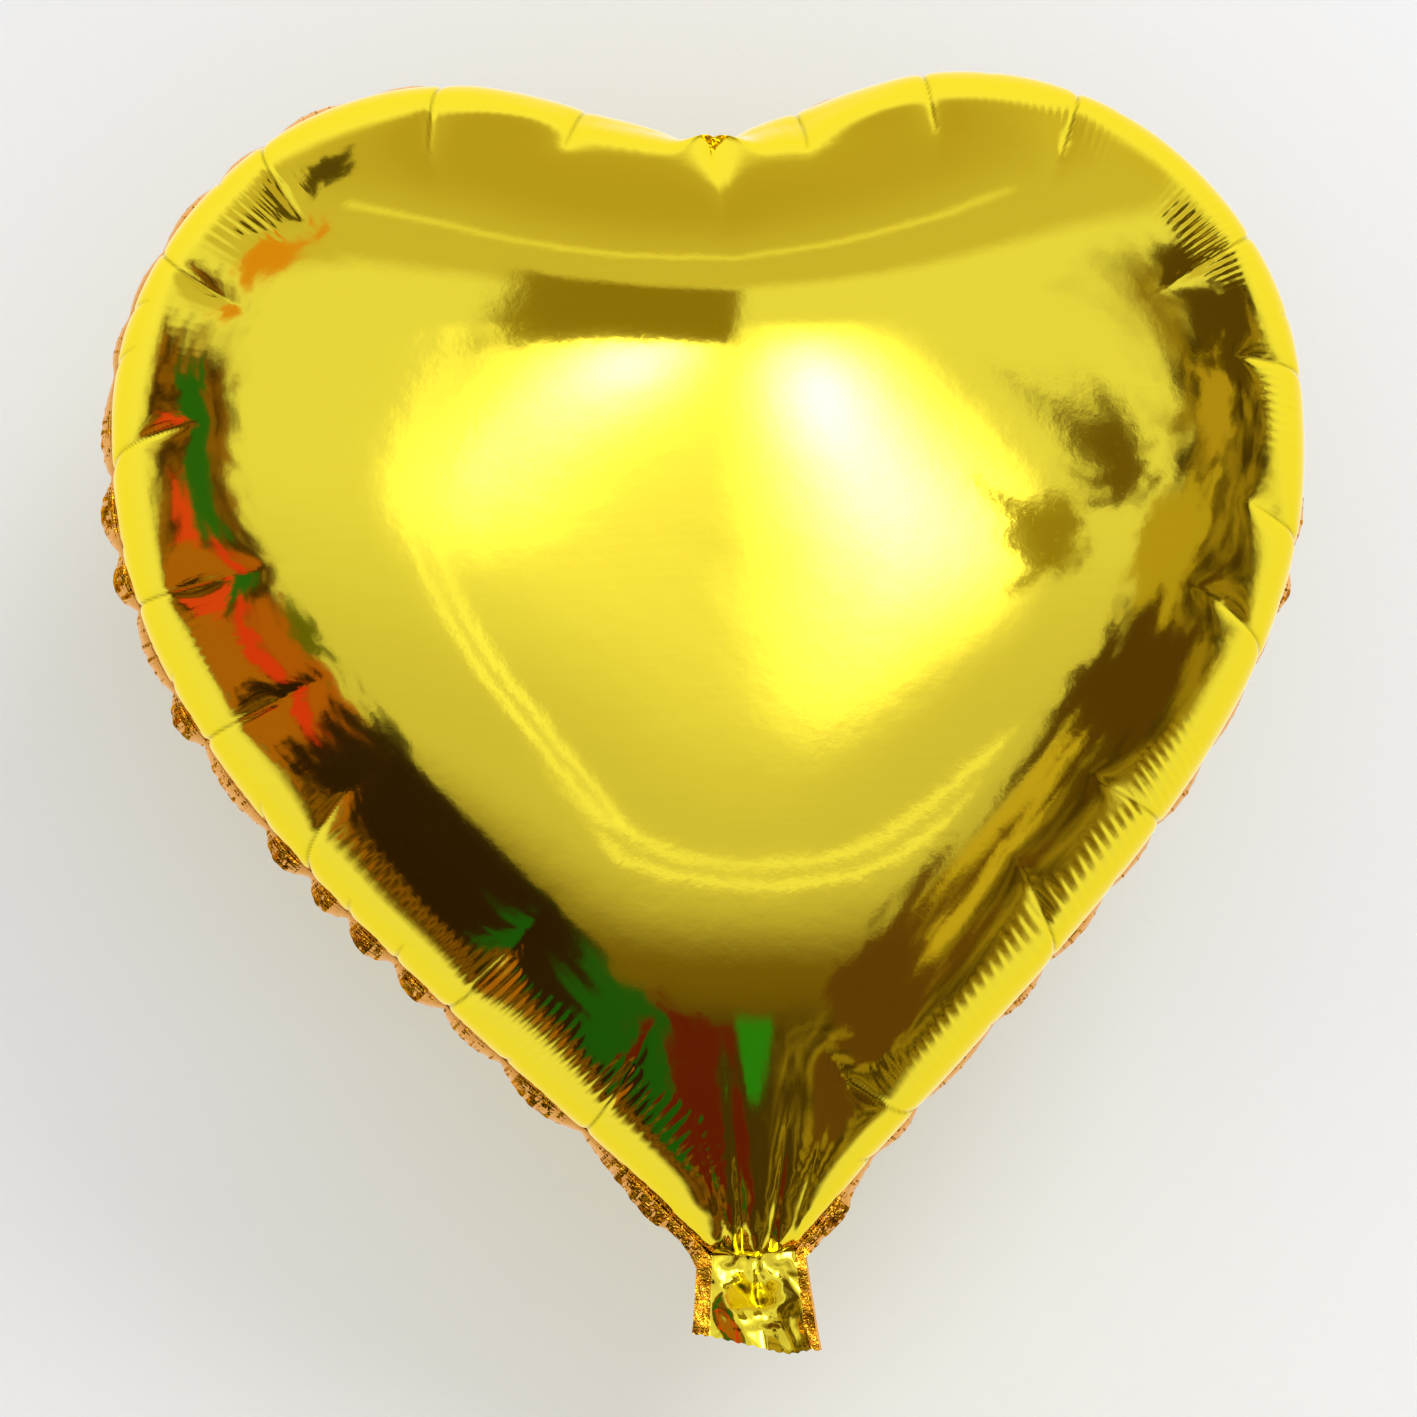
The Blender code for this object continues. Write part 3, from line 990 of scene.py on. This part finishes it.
def film_grain():
    """Surface of thin metallised film: slow waves, fine crinkles, draw lines and lacquer streaks."""

    def fill(tree, given, result):
        place = tree.node("ShaderNodeTexCoord").outputs["Object"]
        waves = tree.noise(place, 28.0, 2.0, 0.45)
        crinkle = tree.noise(place, 170.0, 3.0, 0.55)
        drawn = tree.noise(place, 60.0, 2.0, 0.5, stretch=(0.25, 1.0, 14.0))
        dust = tree.soft_step(tree.noise(place, 900.0, 1.0, 0.5), 0.62, 0.80)
        height = tree.maths("MULTIPLY", waves, 1.0)
        height = tree.maths("MULTIPLY_ADD", crinkle, given["Crinkle"], height)
        height = tree.maths("MULTIPLY_ADD", drawn, 0.001, height)
        tree.put(result["Height"], height)
        streak = tree.soft_step(drawn, 0.35, 0.75)
        tree.put(result["Streak"], tree.maths("MULTIPLY", streak, given["Streaks"]))
        haze = tree.maths("MULTIPLY", tree.soft_step(waves, 0.4, 0.8), 0.030)
        wear_and_painted_shade = tree.maths("MULTIPLY_ADD", dust, 0.05, haze)
        tree.put(result["Haze"], tree.maths("ADD", wear_and_painted_shade, given["Roughness"]))

    return group(
        "Film grain",
        [
            ("Crinkle", "NodeSocketFloat", 0.25),
            ("Streaks", "NodeSocketFloat", 0.5),
            ("Roughness", "NodeSocketFloat", 0.07),
        ],
        [("Height", "NodeSocketFloat"), ("Streak", "NodeSocketFloat"), ("Haze", "NodeSocketFloat")],
        fill,
    )


def new_material(name):
    made = bpy.data.materials.new(name)
    made.use_nodes = True
    tree = Tree(made.node_tree)
    return made, tree, made.node_tree.nodes["Principled BSDF"]


def place_grain(tree, crinkle, streaks, roughness):
    made = tree.node("ShaderNodeGroup", node_tree=film_grain())
    made.inputs["Crinkle"].default_value = crinkle
    made.inputs["Streaks"].default_value = streaks
    made.inputs["Roughness"].default_value = roughness
    return made.outputs


def add_bump(tree, shader, height, distance, strength=1.0):
    bump = tree.node("ShaderNodeBump")
    tree.put(bump.inputs["Height"], height)
    bump.inputs["Distance"].default_value = distance
    bump.inputs["Strength"].default_value = strength
    tree.put(shader.inputs["Normal"], bump.outputs["Normal"])


def gold_foil(foil):
    made, tree, shader = new_material("gold_foil")
    grain = place_grain(tree, 0.22, 0.10, foil.roughness)
    colour = tree.mix(grain["Streak"], (*foil.colour, 1.0), (*foil.shade, 1.0))
    # Painted shade: the crease lines darken the foil's colour almost to black.
    painted_crease_shade = tree.node("ShaderNodeAttribute", attribute_name="painted_crease_shade").outputs["Fac"]
    wear_and_painted_shade = tree.maths("MULTIPLY", painted_crease_shade, 0.85)
    tree.put(shader.inputs["Base Color"], tree.mix(wear_and_painted_shade, colour, (0.10, 0.07, 0.005, 1.0)))
    tree.put(shader.inputs["Roughness"], grain["Haze"])
    shader.inputs["Metallic"].default_value = 1.0
    shader.inputs["Specular Tint"].default_value = (1.0, 0.88, 0.34, 1.0)
    shader.inputs["Coat Weight"].default_value = 0.12
    shader.inputs["Coat Roughness"].default_value = 0.10
    add_bump(tree, shader, grain["Height"], 0.00014)
    return made


def sealed_foil(foil, seam):
    """Foil over the seal: embossed by the heated bar, duller and deeper in colour."""
    made, tree, shader = new_material("heat_sealed_foil")
    grain = place_grain(tree, 0.9, 0.25, foil.roughness + 0.10)
    place = tree.node("ShaderNodeTexCoord").outputs["Object"]
    cells = tree.node("ShaderNodeTexVoronoi", feature="DISTANCE_TO_EDGE")
    tree.put(cells.inputs["Vector"], place)
    cells.inputs["Scale"].default_value = 900.0
    dimple = tree.soft_step(cells.outputs["Distance"], 0.02, 0.25)
    blotch = tree.soft_step(tree.noise(place, 320.0, 2.0, 0.6), 0.42, 0.62)
    dark = tuple(value * 0.35 for value in seam.colour)
    base = tree.mix(blotch, (*dark, 1.0), (*seam.colour, 1.0))
    tree.put(shader.inputs["Base Color"], tree.mix(grain["Streak"], base, (*foil.shade, 1.0)))
    tree.put(shader.inputs["Roughness"], grain["Haze"])
    shader.inputs["Metallic"].default_value = 1.0
    shader.inputs["Specular Tint"].default_value = (0.90, 0.55, 0.10, 1.0)
    height = tree.maths("MULTIPLY_ADD", dimple, 0.30, grain["Height"])
    add_bump(tree, shader, height, 0.00045)
    return made


def fused_sealant(seam):
    made, tree, shader = new_material("fused_sealant")
    place = tree.node("ShaderNodeTexCoord").outputs["Object"]
    flow = tree.noise(place, 420.0, 3.0, 0.6)
    pale = tuple(min(1.0, value * 1.5 + 0.1) for value in seam.colour)
    tree.put(shader.inputs["Base Color"], tree.mix(flow, (*seam.colour, 1.0), (*pale, 1.0)))
    tree.put(shader.inputs["Roughness"], tree.maths("MULTIPLY_ADD", flow, 0.25, 0.22))
    add_bump(tree, shader, flow, 0.0001)
    return made


def clear_film(valve):
    made, tree, shader = new_material("clear_valve_film")
    place = tree.node("ShaderNodeTexCoord").outputs["Object"]
    haze = tree.noise(place, 150.0, 3.0, 0.6, stretch=(1.0, 1.0, 0.3))
    milky = tuple(value * 0.92 for value in valve.film_colour)
    tree.put(shader.inputs["Base Color"], tree.mix(haze, (*valve.film_colour, 1.0), (*milky, 1.0)))
    tree.put(shader.inputs["Roughness"], tree.maths("MULTIPLY_ADD", haze, 0.18, 0.08))
    shader.inputs["Transmission Weight"].default_value = 0.85
    shader.inputs["IOR"].default_value = 1.5
    add_bump(tree, shader, haze, 0.0002)
    return made


def release_ink(valve):
    made, tree, shader = new_material("release_ink")
    place = tree.node("ShaderNodeTexCoord").outputs["Object"]
    screen = tree.node("ShaderNodeTexVoronoi")
    tree.put(screen.inputs["Vector"], place)
    screen.inputs["Scale"].default_value = 1800.0
    dots = tree.soft_step(screen.outputs["Distance"], 0.25, 0.55)
    pale = tuple(value * 0.6 + 0.25 for value in valve.ink_colour)
    tree.put(shader.inputs["Base Color"], tree.mix(dots, (*valve.ink_colour, 1.0), (*pale, 1.0)))
    tree.put(shader.inputs["Roughness"], tree.maths("MULTIPLY_ADD", dots, 0.15, 0.5))
    add_bump(tree, shader, dots, 0.00003)
    return made


# ---------------------------------------------------------------- pieces


def flat_area():
    """Area in square metres of the whole flat cut of one foil, and its width and length."""
    _, pattern = inflated_skin()
    x, z = np.r_[pattern[:, 0], 0.0], np.r_[pattern[:, 1], pattern[0, 1]]
    half = abs((x * np.roll(z, -1) - np.roll(x, -1) * z).sum()) / 2.0
    rim = np.linalg.norm(np.diff(pattern[:SEAM_COLUMNS], axis=0), axis=1).sum() * SEAL_WIDTH
    tail = TAIL_LENGTH * (NECK_HALF + TAIL_END_HALF)
    width = 2.0 * (pattern[:, 0].max() + SEAL_WIDTH)
    length = pattern[:, 1].max() - pattern[:, 1].min() + SEAL_WIDTH + TAIL_LENGTH
    return 2.0 * (half + rim) + tail, width, length


def build_foil(name, side, seed, nodes, seam, materials):
    foil = Foil(side, seed, seam)
    vertices = foil.build()
    faces = [face[::-1] for face in foil.faces] if side < 0 else foil.faces
    made = mesh_object(name, vertices, faces, materials)
    made.data.polygons.foreach_set("material_index", np.array(foil.sealed, dtype=np.int32))
    # The crease lines' painted shade, stored per point for the gold foil material.
    painted_crease_shade = made.data.attributes.new("painted_crease_shade", "FLOAT", "POINT")
    painted_crease_shade.data.foreach_set("value", np.concatenate(foil.shades).astype(np.float32))
    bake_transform(made)
    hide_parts(*nodes)
    area, width, length = flat_area()
    return made


class BALLOON_OT_foils(bpy.types.Operator):
    """Front and rear gold foils, inflated, puckered along the seal and crushed at the tail"""

    bl_idname = "balloon.foils"
    bl_label = "Gold foils"

    def execute(self, context):
        looks = context.scene.balloon_foil
        seam = context.scene.balloon_seam
        materials = (gold_foil(looks), sealed_foil(looks, seam))
        build_foil("front_foil", -1, 101, ("front_panel", "tail_front_ply"), seam, materials)
        build_foil("rear_foil", 1, 202, ("rear_panel", "tail_rear_ply"), seam, materials)
        return {"FINISHED"}


class BALLOON_OT_seals(bpy.types.Operator):
    """Fused sealant between the foils: round the heart and down both edges of the tail"""

    bl_idname = "balloon.seals"
    bl_label = "Fused seals"

    def execute(self, context):
        seam = context.scene.balloon_seam
        sealant = fused_sealant(seam)
        length = smooth_panel()[3]
        strip = seal_strip(Creases(length, seed=CREASE_SEED), seam)[::2]
        rows, columns = strip.shape[:2]
        rim = mesh_object("heart_seal", strip.reshape(-1, 3), grid_faces(rows, columns), [sealant])
        thicken(rim, SEAL_FILM)
        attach(rim, "balloon")
        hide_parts("perimeter_seal")
        for name, hand in (("tail_left_seal", -1.0), ("tail_right_seal", 1.0)):
            edge = tail_seal_points(hand)
            rows, columns = edge.shape[:2]
            made = mesh_object(name + "_strip", edge.reshape(-1, 3), grid_faces(rows, columns), [sealant])
            thicken(made, SEAL_FILM)
            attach(made, "tail")
            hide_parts(name)
        return {"FINISHED"}


def tail_seal_points(hand):
    """Sealant strip along one edge of the tail, bent with its plies."""
    down = np.linspace(0.08, 1.0, TAIL_ROWS)[:, None]
    share = np.linspace(1.0 - TAIL_SEAL_WIDTH / NECK_HALF, 1.0, 5)[None, :] * hand
    z = tail_end(share * TAIL_END_HALF) * down
    half = NECK_HALF + (TAIL_END_HALF - NECK_HALF) * (-z / TAIL_LENGTH) ** 1.25
    x = share * half
    return np.stack([x, shared_crush(x, z), z], -1)


class BALLOON_OT_valve(bpy.types.Operator):
    """Clear films of the self-sealing valve and the release ink between them"""

    bl_idname = "balloon.valve"
    bl_label = "Film valve"

    def execute(self, context):
        looks = context.scene.balloon_valve
        film = clear_film(looks)
        build_film("valve_front", "valve_front_film", "valve_lip", -1.0, film)
        build_film("valve_rear", "valve_rear_film", "valve_tongue", 1.0, film)
        ink = release_ink(looks)
        x = np.linspace(INK_LOW[0], INK_HIGH[0], 13)[None, :]
        z = np.linspace(INK_LOW[2], INK_HIGH[2], 29)[:, None]
        ragged = 1.0 + 0.02 * np.sin(z * 1900.0) + 0.015 * np.sin(z * 5100.0 + 1.0)
        points = np.stack(np.broadcast_arrays(x * ragged, valve_curl(x, z), z), -1)
        patch = mesh_object("release_patch", points.reshape(-1, 3), grid_faces(29, 13), [ink])
        thicken(patch, 0.00008)
        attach(patch, "valve_tongue")
        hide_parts("release_print")
        return {"FINISHED"}


def valve_curl(x, z):
    """Slow bend that the films and the ink share."""
    return 0.0004 * np.sin((z - VALVE_LOW[2]) * 70.0) * np.cos(x * 60.0)


def build_film(name, node, body, side, film):
    """One valve film: narrow at its root, with the ribs of its heat seals down both edges."""
    low, high = VALVE_LOW, VALVE_HIGH
    rows, columns = 90, 41
    z = np.linspace(low[2], high[2], rows)[:, None]
    root = 0.009
    shoulder = smooth_step((z - low[2]) / 0.018)
    half = root + (high[0] - root) * shoulder
    across = np.linspace(-1.0, 1.0, columns)[None, :]
    x = across * half
    rib = 0.00012 * np.exp(-((1.0 - np.abs(across)) * half / 0.0009 - 2.0) ** 2)
    y = valve_curl(x, z) + side * (0.00042 + rib)
    points = np.stack(np.broadcast_arrays(x, y, z), -1)
    made = mesh_object(name, points.reshape(-1, 3), grid_faces(rows, columns), [film])
    thicken(made, 0.00010)
    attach(made, body)
    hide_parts(node)


# ---------------------------------------------------------------- stage


class Room(Tree):
    """World colours by direction: longitude from the front, + to the right, and latitude, in degrees."""

    def __init__(self, tree):
        super().__init__(tree)
        given = self.given = self.node("ShaderNodeTexCoord").outputs["Generated"]
        parts = self.node("ShaderNodeSeparateXYZ")
        self.put(parts.inputs[0], given)
        x, y, z = parts.outputs
        ahead = self.maths("MULTIPLY", y, -1.0)
        degrees = 180.0 / pi
        self.longitude = self.maths("MULTIPLY", self.maths("ARCTAN2", x, ahead), degrees)
        self.latitude = self.maths("MULTIPLY", self.maths("ARCSINE", z), degrees)
        self.away = self.maths("MULTIPLY", self.maths("ARCCOSINE", ahead), degrees)
        self.turn = self.maths("MULTIPLY", self.maths("ARCTAN2", x, z), degrees)
        wobble = self.noise(given, 9.0, 3.0, 0.6)
        self.rough_turn = self.maths("MULTIPLY_ADD", wobble, 24.0, self.maths("SUBTRACT", self.turn, 12.0))
        wobble = self.noise(given, 13.0, 2.0, 0.6)
        self.rough_away = self.maths("MULTIPLY_ADD", wobble, 16.0, self.maths("SUBTRACT", self.away, 8.0))

    def band(self, value, low, high, soft):
        """1 between low and high, falling to 0 over soft on both sides."""
        rise = self.soft_step(value, low - soft, low + soft)
        fall = self.soft_step(value, high + soft, high - soft)
        return self.maths("MULTIPLY", rise, fall)

    def patch(self, middle, half, soft, turn=0.0):
        """Soft-edged box at (longitude, latitude), turned by some degrees."""
        a = self.maths("SUBTRACT", self.longitude, middle[0])
        b = self.maths("SUBTRACT", self.latitude, middle[1])
        c, s = cos(radians(turn)), sin(radians(turn))
        across = self.maths("ADD", self.maths("MULTIPLY", a, c), self.maths("MULTIPLY", b, s))
        up = self.maths("SUBTRACT", self.maths("MULTIPLY", b, c), self.maths("MULTIPLY", a, s))
        wide = self.band(across, -half[0], half[0], soft)
        return self.maths("MULTIPLY", wide, self.band(up, -half[1], half[1], soft))

    def sector(self, turns, aways, soft=5.0):
        """Uneven piece of a ring: between two turns, 0 up and 90 right, and two angles from the front."""
        round_front = self.band(self.rough_turn, *turns, soft)
        return self.maths("MULTIPLY", round_front, self.band(self.rough_away, *aways, soft * 0.7))

    def paint(self, below, mask, colour):
        return self.mix(mask, below, (*colour, 1.0))


LEFT_CLUTTER = (
    # turns, aways from the front, colour: fabrics and boxes beyond the left flank, from the lobe down
    ((-50, -38), (68, 84), (0.80, 0.34, 0.05)),
    ((-36, -20), (88, 98), (0.10, 0.07, 0.02)),
    ((-96, -64), (74, 90), (0.02, 0.15, 0.04)),
    ((-104, -84), (88, 96), (0.80, 0.07, 0.06)),
    ((-124, -98), (86, 104), (0.45, 0.15, 0.02)),
    ((-128, -98), (78, 86), (0.75, 0.05, 0.05)),
    ((-126, -102), (62, 78), (0.48, 0.13, 0.02)),
    ((-114, -104), (58, 66), (0.14, 0.15, 0.01)),
    ((-143, -120), (56, 98), (0.025, 0.010, 0.006)),
    ((-158, -140), (58, 96), (0.01, 0.11, 0.03)),
    ((-174, -156), (54, 90), (0.13, 0.012, 0.01)),
)
RIGHT_CLUTTER = (
    ((54, 74), (72, 98), (0.10, 0.06, 0.01)),
    ((68, 82), (66, 80), (0.50, 0.36, 0.10)),
    ((66, 84), (44, 54), (0.16, 0.10, 0.02)),
    ((78, 98), (32, 41), (0.34, 0.26, 0.06)),
    ((86, 104), (54, 76), (0.52, 0.40, 0.10)),
    ((106, 124), (54, 92), (0.10, 0.05, 0.01)),
    ((124, 134), (58, 76), (0.62, 0.48, 0.14)),
    ((130, 152), (52, 90), (0.13, 0.06, 0.02)),
)


def room_colours(room):
    """What the foil mirrors: a pale room with a window, dark ceiling and floor, and clutter at the sides."""
    rising = room.soft_step(room.latitude, -30.0, 20.0)
    colour = room.mix(rising, (0.72, 0.68, 0.60, 1.0), (0.93, 0.93, 0.88, 1.0))
    overhead = room.soft_step(room.latitude, 50.0, 85.0)
    ceiling = room.mix(overhead, (0.70, 0.62, 0.42, 1.0), (0.56, 0.45, 0.20, 1.0))
    colour = room.mix(room.soft_step(room.latitude, 38.0, 44.0), colour, ceiling)
    beam = room.patch((0.0, 58.0), (60.0, 1.2), 1.5)
    colour = room.paint(colour, beam, (0.95, 0.90, 0.70))
    # Floor and the dim foreground.
    colour = room.paint(colour, room.soft_step(room.latitude, -27.0, -42.0), (0.20, 0.13, 0.025))
    colour = room.paint(colour, room.soft_step(room.latitude, -42.0, -58.0), (0.06, 0.035, 0.01))
    # Blind over the window, its glow and the two bright panes.
    frame_edge = room.maths(
        "MULTIPLY", room.soft_step(room.longitude, 38.5, 35.5), room.soft_step(room.latitude, 26.5, 23.5))
    glow = room.maths("MULTIPLY", room.patch((2.0, 6.0), (20.0, 9.0), 17.0), frame_edge)
    colour = room.paint(colour, glow, (1.55, 1.52, 1.42))
    for middle, half in (((-14.0, 15.0), (12.0, 8.0)), ((20.0, 6.0), (11.0, 13.0))):
        pane = room.maths("POWER", room.patch(middle, half, 12.0), 2.2)
        colour = room.paint(colour, room.maths("MULTIPLY", pane, frame_edge), (19.0, 19.0, 19.0))
    colour = room.paint(colour, room.patch((-12.0, 32.0), (19.0, 11.0), 1.5, -8.0), (0.30, 0.22, 0.04))
    # Thin bright trim beside and below the window.
    for shift in (0.0, 2.8):
        upright = room.patch((-25.0 - shift, 2.0), (0.5, 27.0), 0.8, 14.0)
        colour = room.paint(colour, upright, (1.5, 1.5, 1.35))
        sill = room.patch((10.0, -24.5 - shift), (34.0, 0.5), 0.8)
        colour = room.paint(colour, sill, (1.3, 1.3, 1.15))
    # Dim bands at both sides, and the clutter in them.
    clutter = room.noise(room.given, 7.0, 3.0, 0.6)
    dim = room.soft_step(clutter, 0.35, 0.65)
    left = room.sector((-172.0, -58.0), (64.0, 106.0), 6.0)
    right = room.sector((56.0, 168.0), (60.0, 106.0), 6.0)
    brown = room.mix(dim, (0.05, 0.02, 0.008, 1.0), (0.28, 0.12, 0.02, 1.0))
    olive = room.mix(dim, (0.06, 0.035, 0.01, 1.0), (0.34, 0.24, 0.06, 1.0))
    colour = room.mix(left, colour, brown)
    colour = room.mix(right, colour, olive)
    for turns, aways, tint in (*LEFT_CLUTTER, *RIGHT_CLUTTER):
        colour = room.paint(colour, room.sector(turns, aways, 2.0), tint)
    green = room.patch((5.0, -60.0), (9.0, 9.0), 2.0)
    colour = room.paint(colour, green, (0.02, 0.26, 0.05))
    # The pale wall behind the balloon.
    up_the_wall = room.soft_step(room.latitude, -60.0, 60.0)
    wall = room.mix(up_the_wall, (0.96, 0.95, 0.91, 1.0), (1.12, 1.11, 1.08, 1.0))
    return room.mix(room.soft_step(room.away, 104.0, 114.0), colour, wall)


class BALLOON_OT_stage(bpy.types.Operator):
    """Pale wall and floor, soft light, the mirrored room and the camera"""

    bl_idname = "balloon.stage"
    bl_label = "Stage"

    def execute(self, context):
        looks = context.scene.balloon_stage
        build_backdrop(looks)
        build_light(looks)
        build_world(looks)
        build_camera(looks)
        context.scene.view_settings.view_transform = "Standard"
        context.scene.view_settings.look = "None"
        return {"FINISHED"}


def build_backdrop(looks):
    """Wall and floor joined by a wide sweep; from behind, the wall lets the view through."""
    wall_y, floor_z, radius, reach, top = 0.13, -0.10, 0.16, 3.0, 2.6
    profile = [(-reach, floor_z)]
    for step in range(25):
        angle = pi / 2 * step / 24
        profile.append((wall_y - radius + radius * sin(angle), floor_z + radius - radius * cos(angle)))
    profile.append((wall_y, top))
    xs = np.linspace(-reach, reach, 9)
    points = np.array([[(x, y, z) for x in xs] for y, z in profile])
    made_faces = [face[::-1] for face in grid_faces(len(profile), len(xs))]
    made, tree, shader = new_material("pale_wall")
    place = tree.node("ShaderNodeTexCoord").outputs["Object"]
    tone = tree.noise(place, 3.0, 2.0, 0.5)
    dim = tuple(value * 0.97 for value in looks.wall_colour)
    tree.put(shader.inputs["Base Color"], tree.mix(tone, (*looks.wall_colour, 1.0), (*dim, 1.0)))
    shader.inputs["Roughness"].default_value = 0.9
    shader.inputs["Specular IOR Level"].default_value = 0.0
    add_bump(tree, shader, tree.noise(place, 400.0, 2.0, 0.5), 0.0001)
    clear = tree.node("ShaderNodeBsdfTransparent")
    switch = tree.node("ShaderNodeMixShader")
    tree.put(switch.inputs[0], tree.node("ShaderNodeNewGeometry").outputs["Backfacing"])
    tree.put(switch.inputs[1], shader.outputs[0])
    tree.put(switch.inputs[2], clear.outputs[0])
    tree.put(made.node_tree.nodes["Material Output"].inputs["Surface"], switch.outputs[0])
    wall = mesh_object("backdrop", points.reshape(-1, 3), made_faces, [made])
    wall.visible_glossy = False
    wall.visible_shadow = False
    wall.visible_diffuse = False
    wall.visible_transmission = False


def build_light(looks):
    data = bpy.data.lights.new("key_light", "AREA")
    data.shape = "DISK"
    data.size = 0.9
    data.energy = looks.key_power
    made = bpy.data.objects.new("key_light", data)
    made.location = (0.75, -1.25, 1.35)
    aim = Vector((0.0, 0.1, 0.15)) - made.location
    made.rotation_euler = aim.to_track_quat("-Z", "Y").to_euler()
    made.visible_glossy = False
    bpy.context.scene.collection.objects.link(made)


def build_world(looks):
    """The foil mirrors the room; the wall and floor get an even light, and the view past them is pale."""
    world = bpy.data.worlds.new("room")
    bpy.context.scene.world = world
    world.use_nodes = True
    room = Room(world.node_tree)
    background = world.node_tree.nodes["Background"]
    colour = room_colours(room)
    path = room.node("ShaderNodeLightPath")
    even = (looks.fill, looks.fill, looks.fill * 1.02, 1.0)
    seen = (0.83, 0.83, 0.84, 1.0)
    colour = room.mix(path.outputs["Is Glossy Ray"], even, colour)
    colour = room.mix(path.outputs["Is Camera Ray"], colour, seen)
    room.put(background.inputs["Color"], colour)


def build_camera(looks):
    data = bpy.data.cameras.new("camera")
    data.sensor_width = 36.0
    data.lens = 36.0 * looks.distance / looks.framed_width
    data.clip_start = 0.01
    made = bpy.data.objects.new("camera", data)
    bpy.context.scene.collection.objects.link(made)
    target = Vector((-0.0055, 0.0, 0.1595))
    level = cos(looks.elevation)
    back = Vector((sin(looks.azimuth) * level, -cos(looks.azimuth) * level, sin(looks.elevation)))
    up = Vector((sin(looks.roll), 0.0, cos(looks.roll)))
    side = up.cross(back).normalized()
    up = back.cross(side)
    turn = Matrix((side, up, back)).transposed().to_4x4()
    made.matrix_world = Matrix.Translation(target + back * looks.distance) @ turn
    bpy.context.scene.camera = made


# ---------------------------------------------------------------- add-on


class BALLOON_PT_panel(bpy.types.Panel):
    """Buttons and settings of the balloon"""

    bl_label = "Heart foil balloon"
    bl_idname = "BALLOON_PT_panel"
    bl_space_type = "VIEW_3D"
    bl_region_type = "UI"
    bl_category = "Balloon"

    def draw(self, context):
        for name, operators in PANEL_ROWS:
            box = self.layout.box()
            settings = getattr(context.scene, name)
            for key in settings.bl_rna.properties.keys():
                if key not in ("rna_type", "name"):
                    box.prop(settings, key)
            for operator in operators:
                box.operator(operator)


SETTINGS = (
    ("balloon_foil", FoilSettings),
    ("balloon_seam", SeamSettings),
    ("balloon_valve", ValveSettings),
    ("balloon_stage", StageSettings),
)
PANEL_ROWS = (
    ("balloon_foil", ("balloon.foils",)),
    ("balloon_seam", ("balloon.seals",)),
    ("balloon_valve", ("balloon.valve",)),
    ("balloon_stage", ("balloon.stage",)),
)
OPERATORS = (BALLOON_OT_foils, BALLOON_OT_seals, BALLOON_OT_valve, BALLOON_OT_stage)


def register():
    for name, kind in SETTINGS:
        bpy.utils.register_class(kind)
        setattr(bpy.types.Scene, name, PointerProperty(type=kind))
    for kind in (*OPERATORS, BALLOON_PT_panel):
        bpy.utils.register_class(kind)


def unregister():
    for kind in (BALLOON_PT_panel, *OPERATORS):
        bpy.utils.unregister_class(kind)
    for name, kind in SETTINGS:
        delattr(bpy.types.Scene, name)
        bpy.utils.unregister_class(kind)


def main():
    register()
    bpy.ops.balloon.foils()
    bpy.ops.balloon.seals()
    bpy.ops.balloon.valve()
    bpy.ops.balloon.stage()


if __name__ == "__main__":
    main()
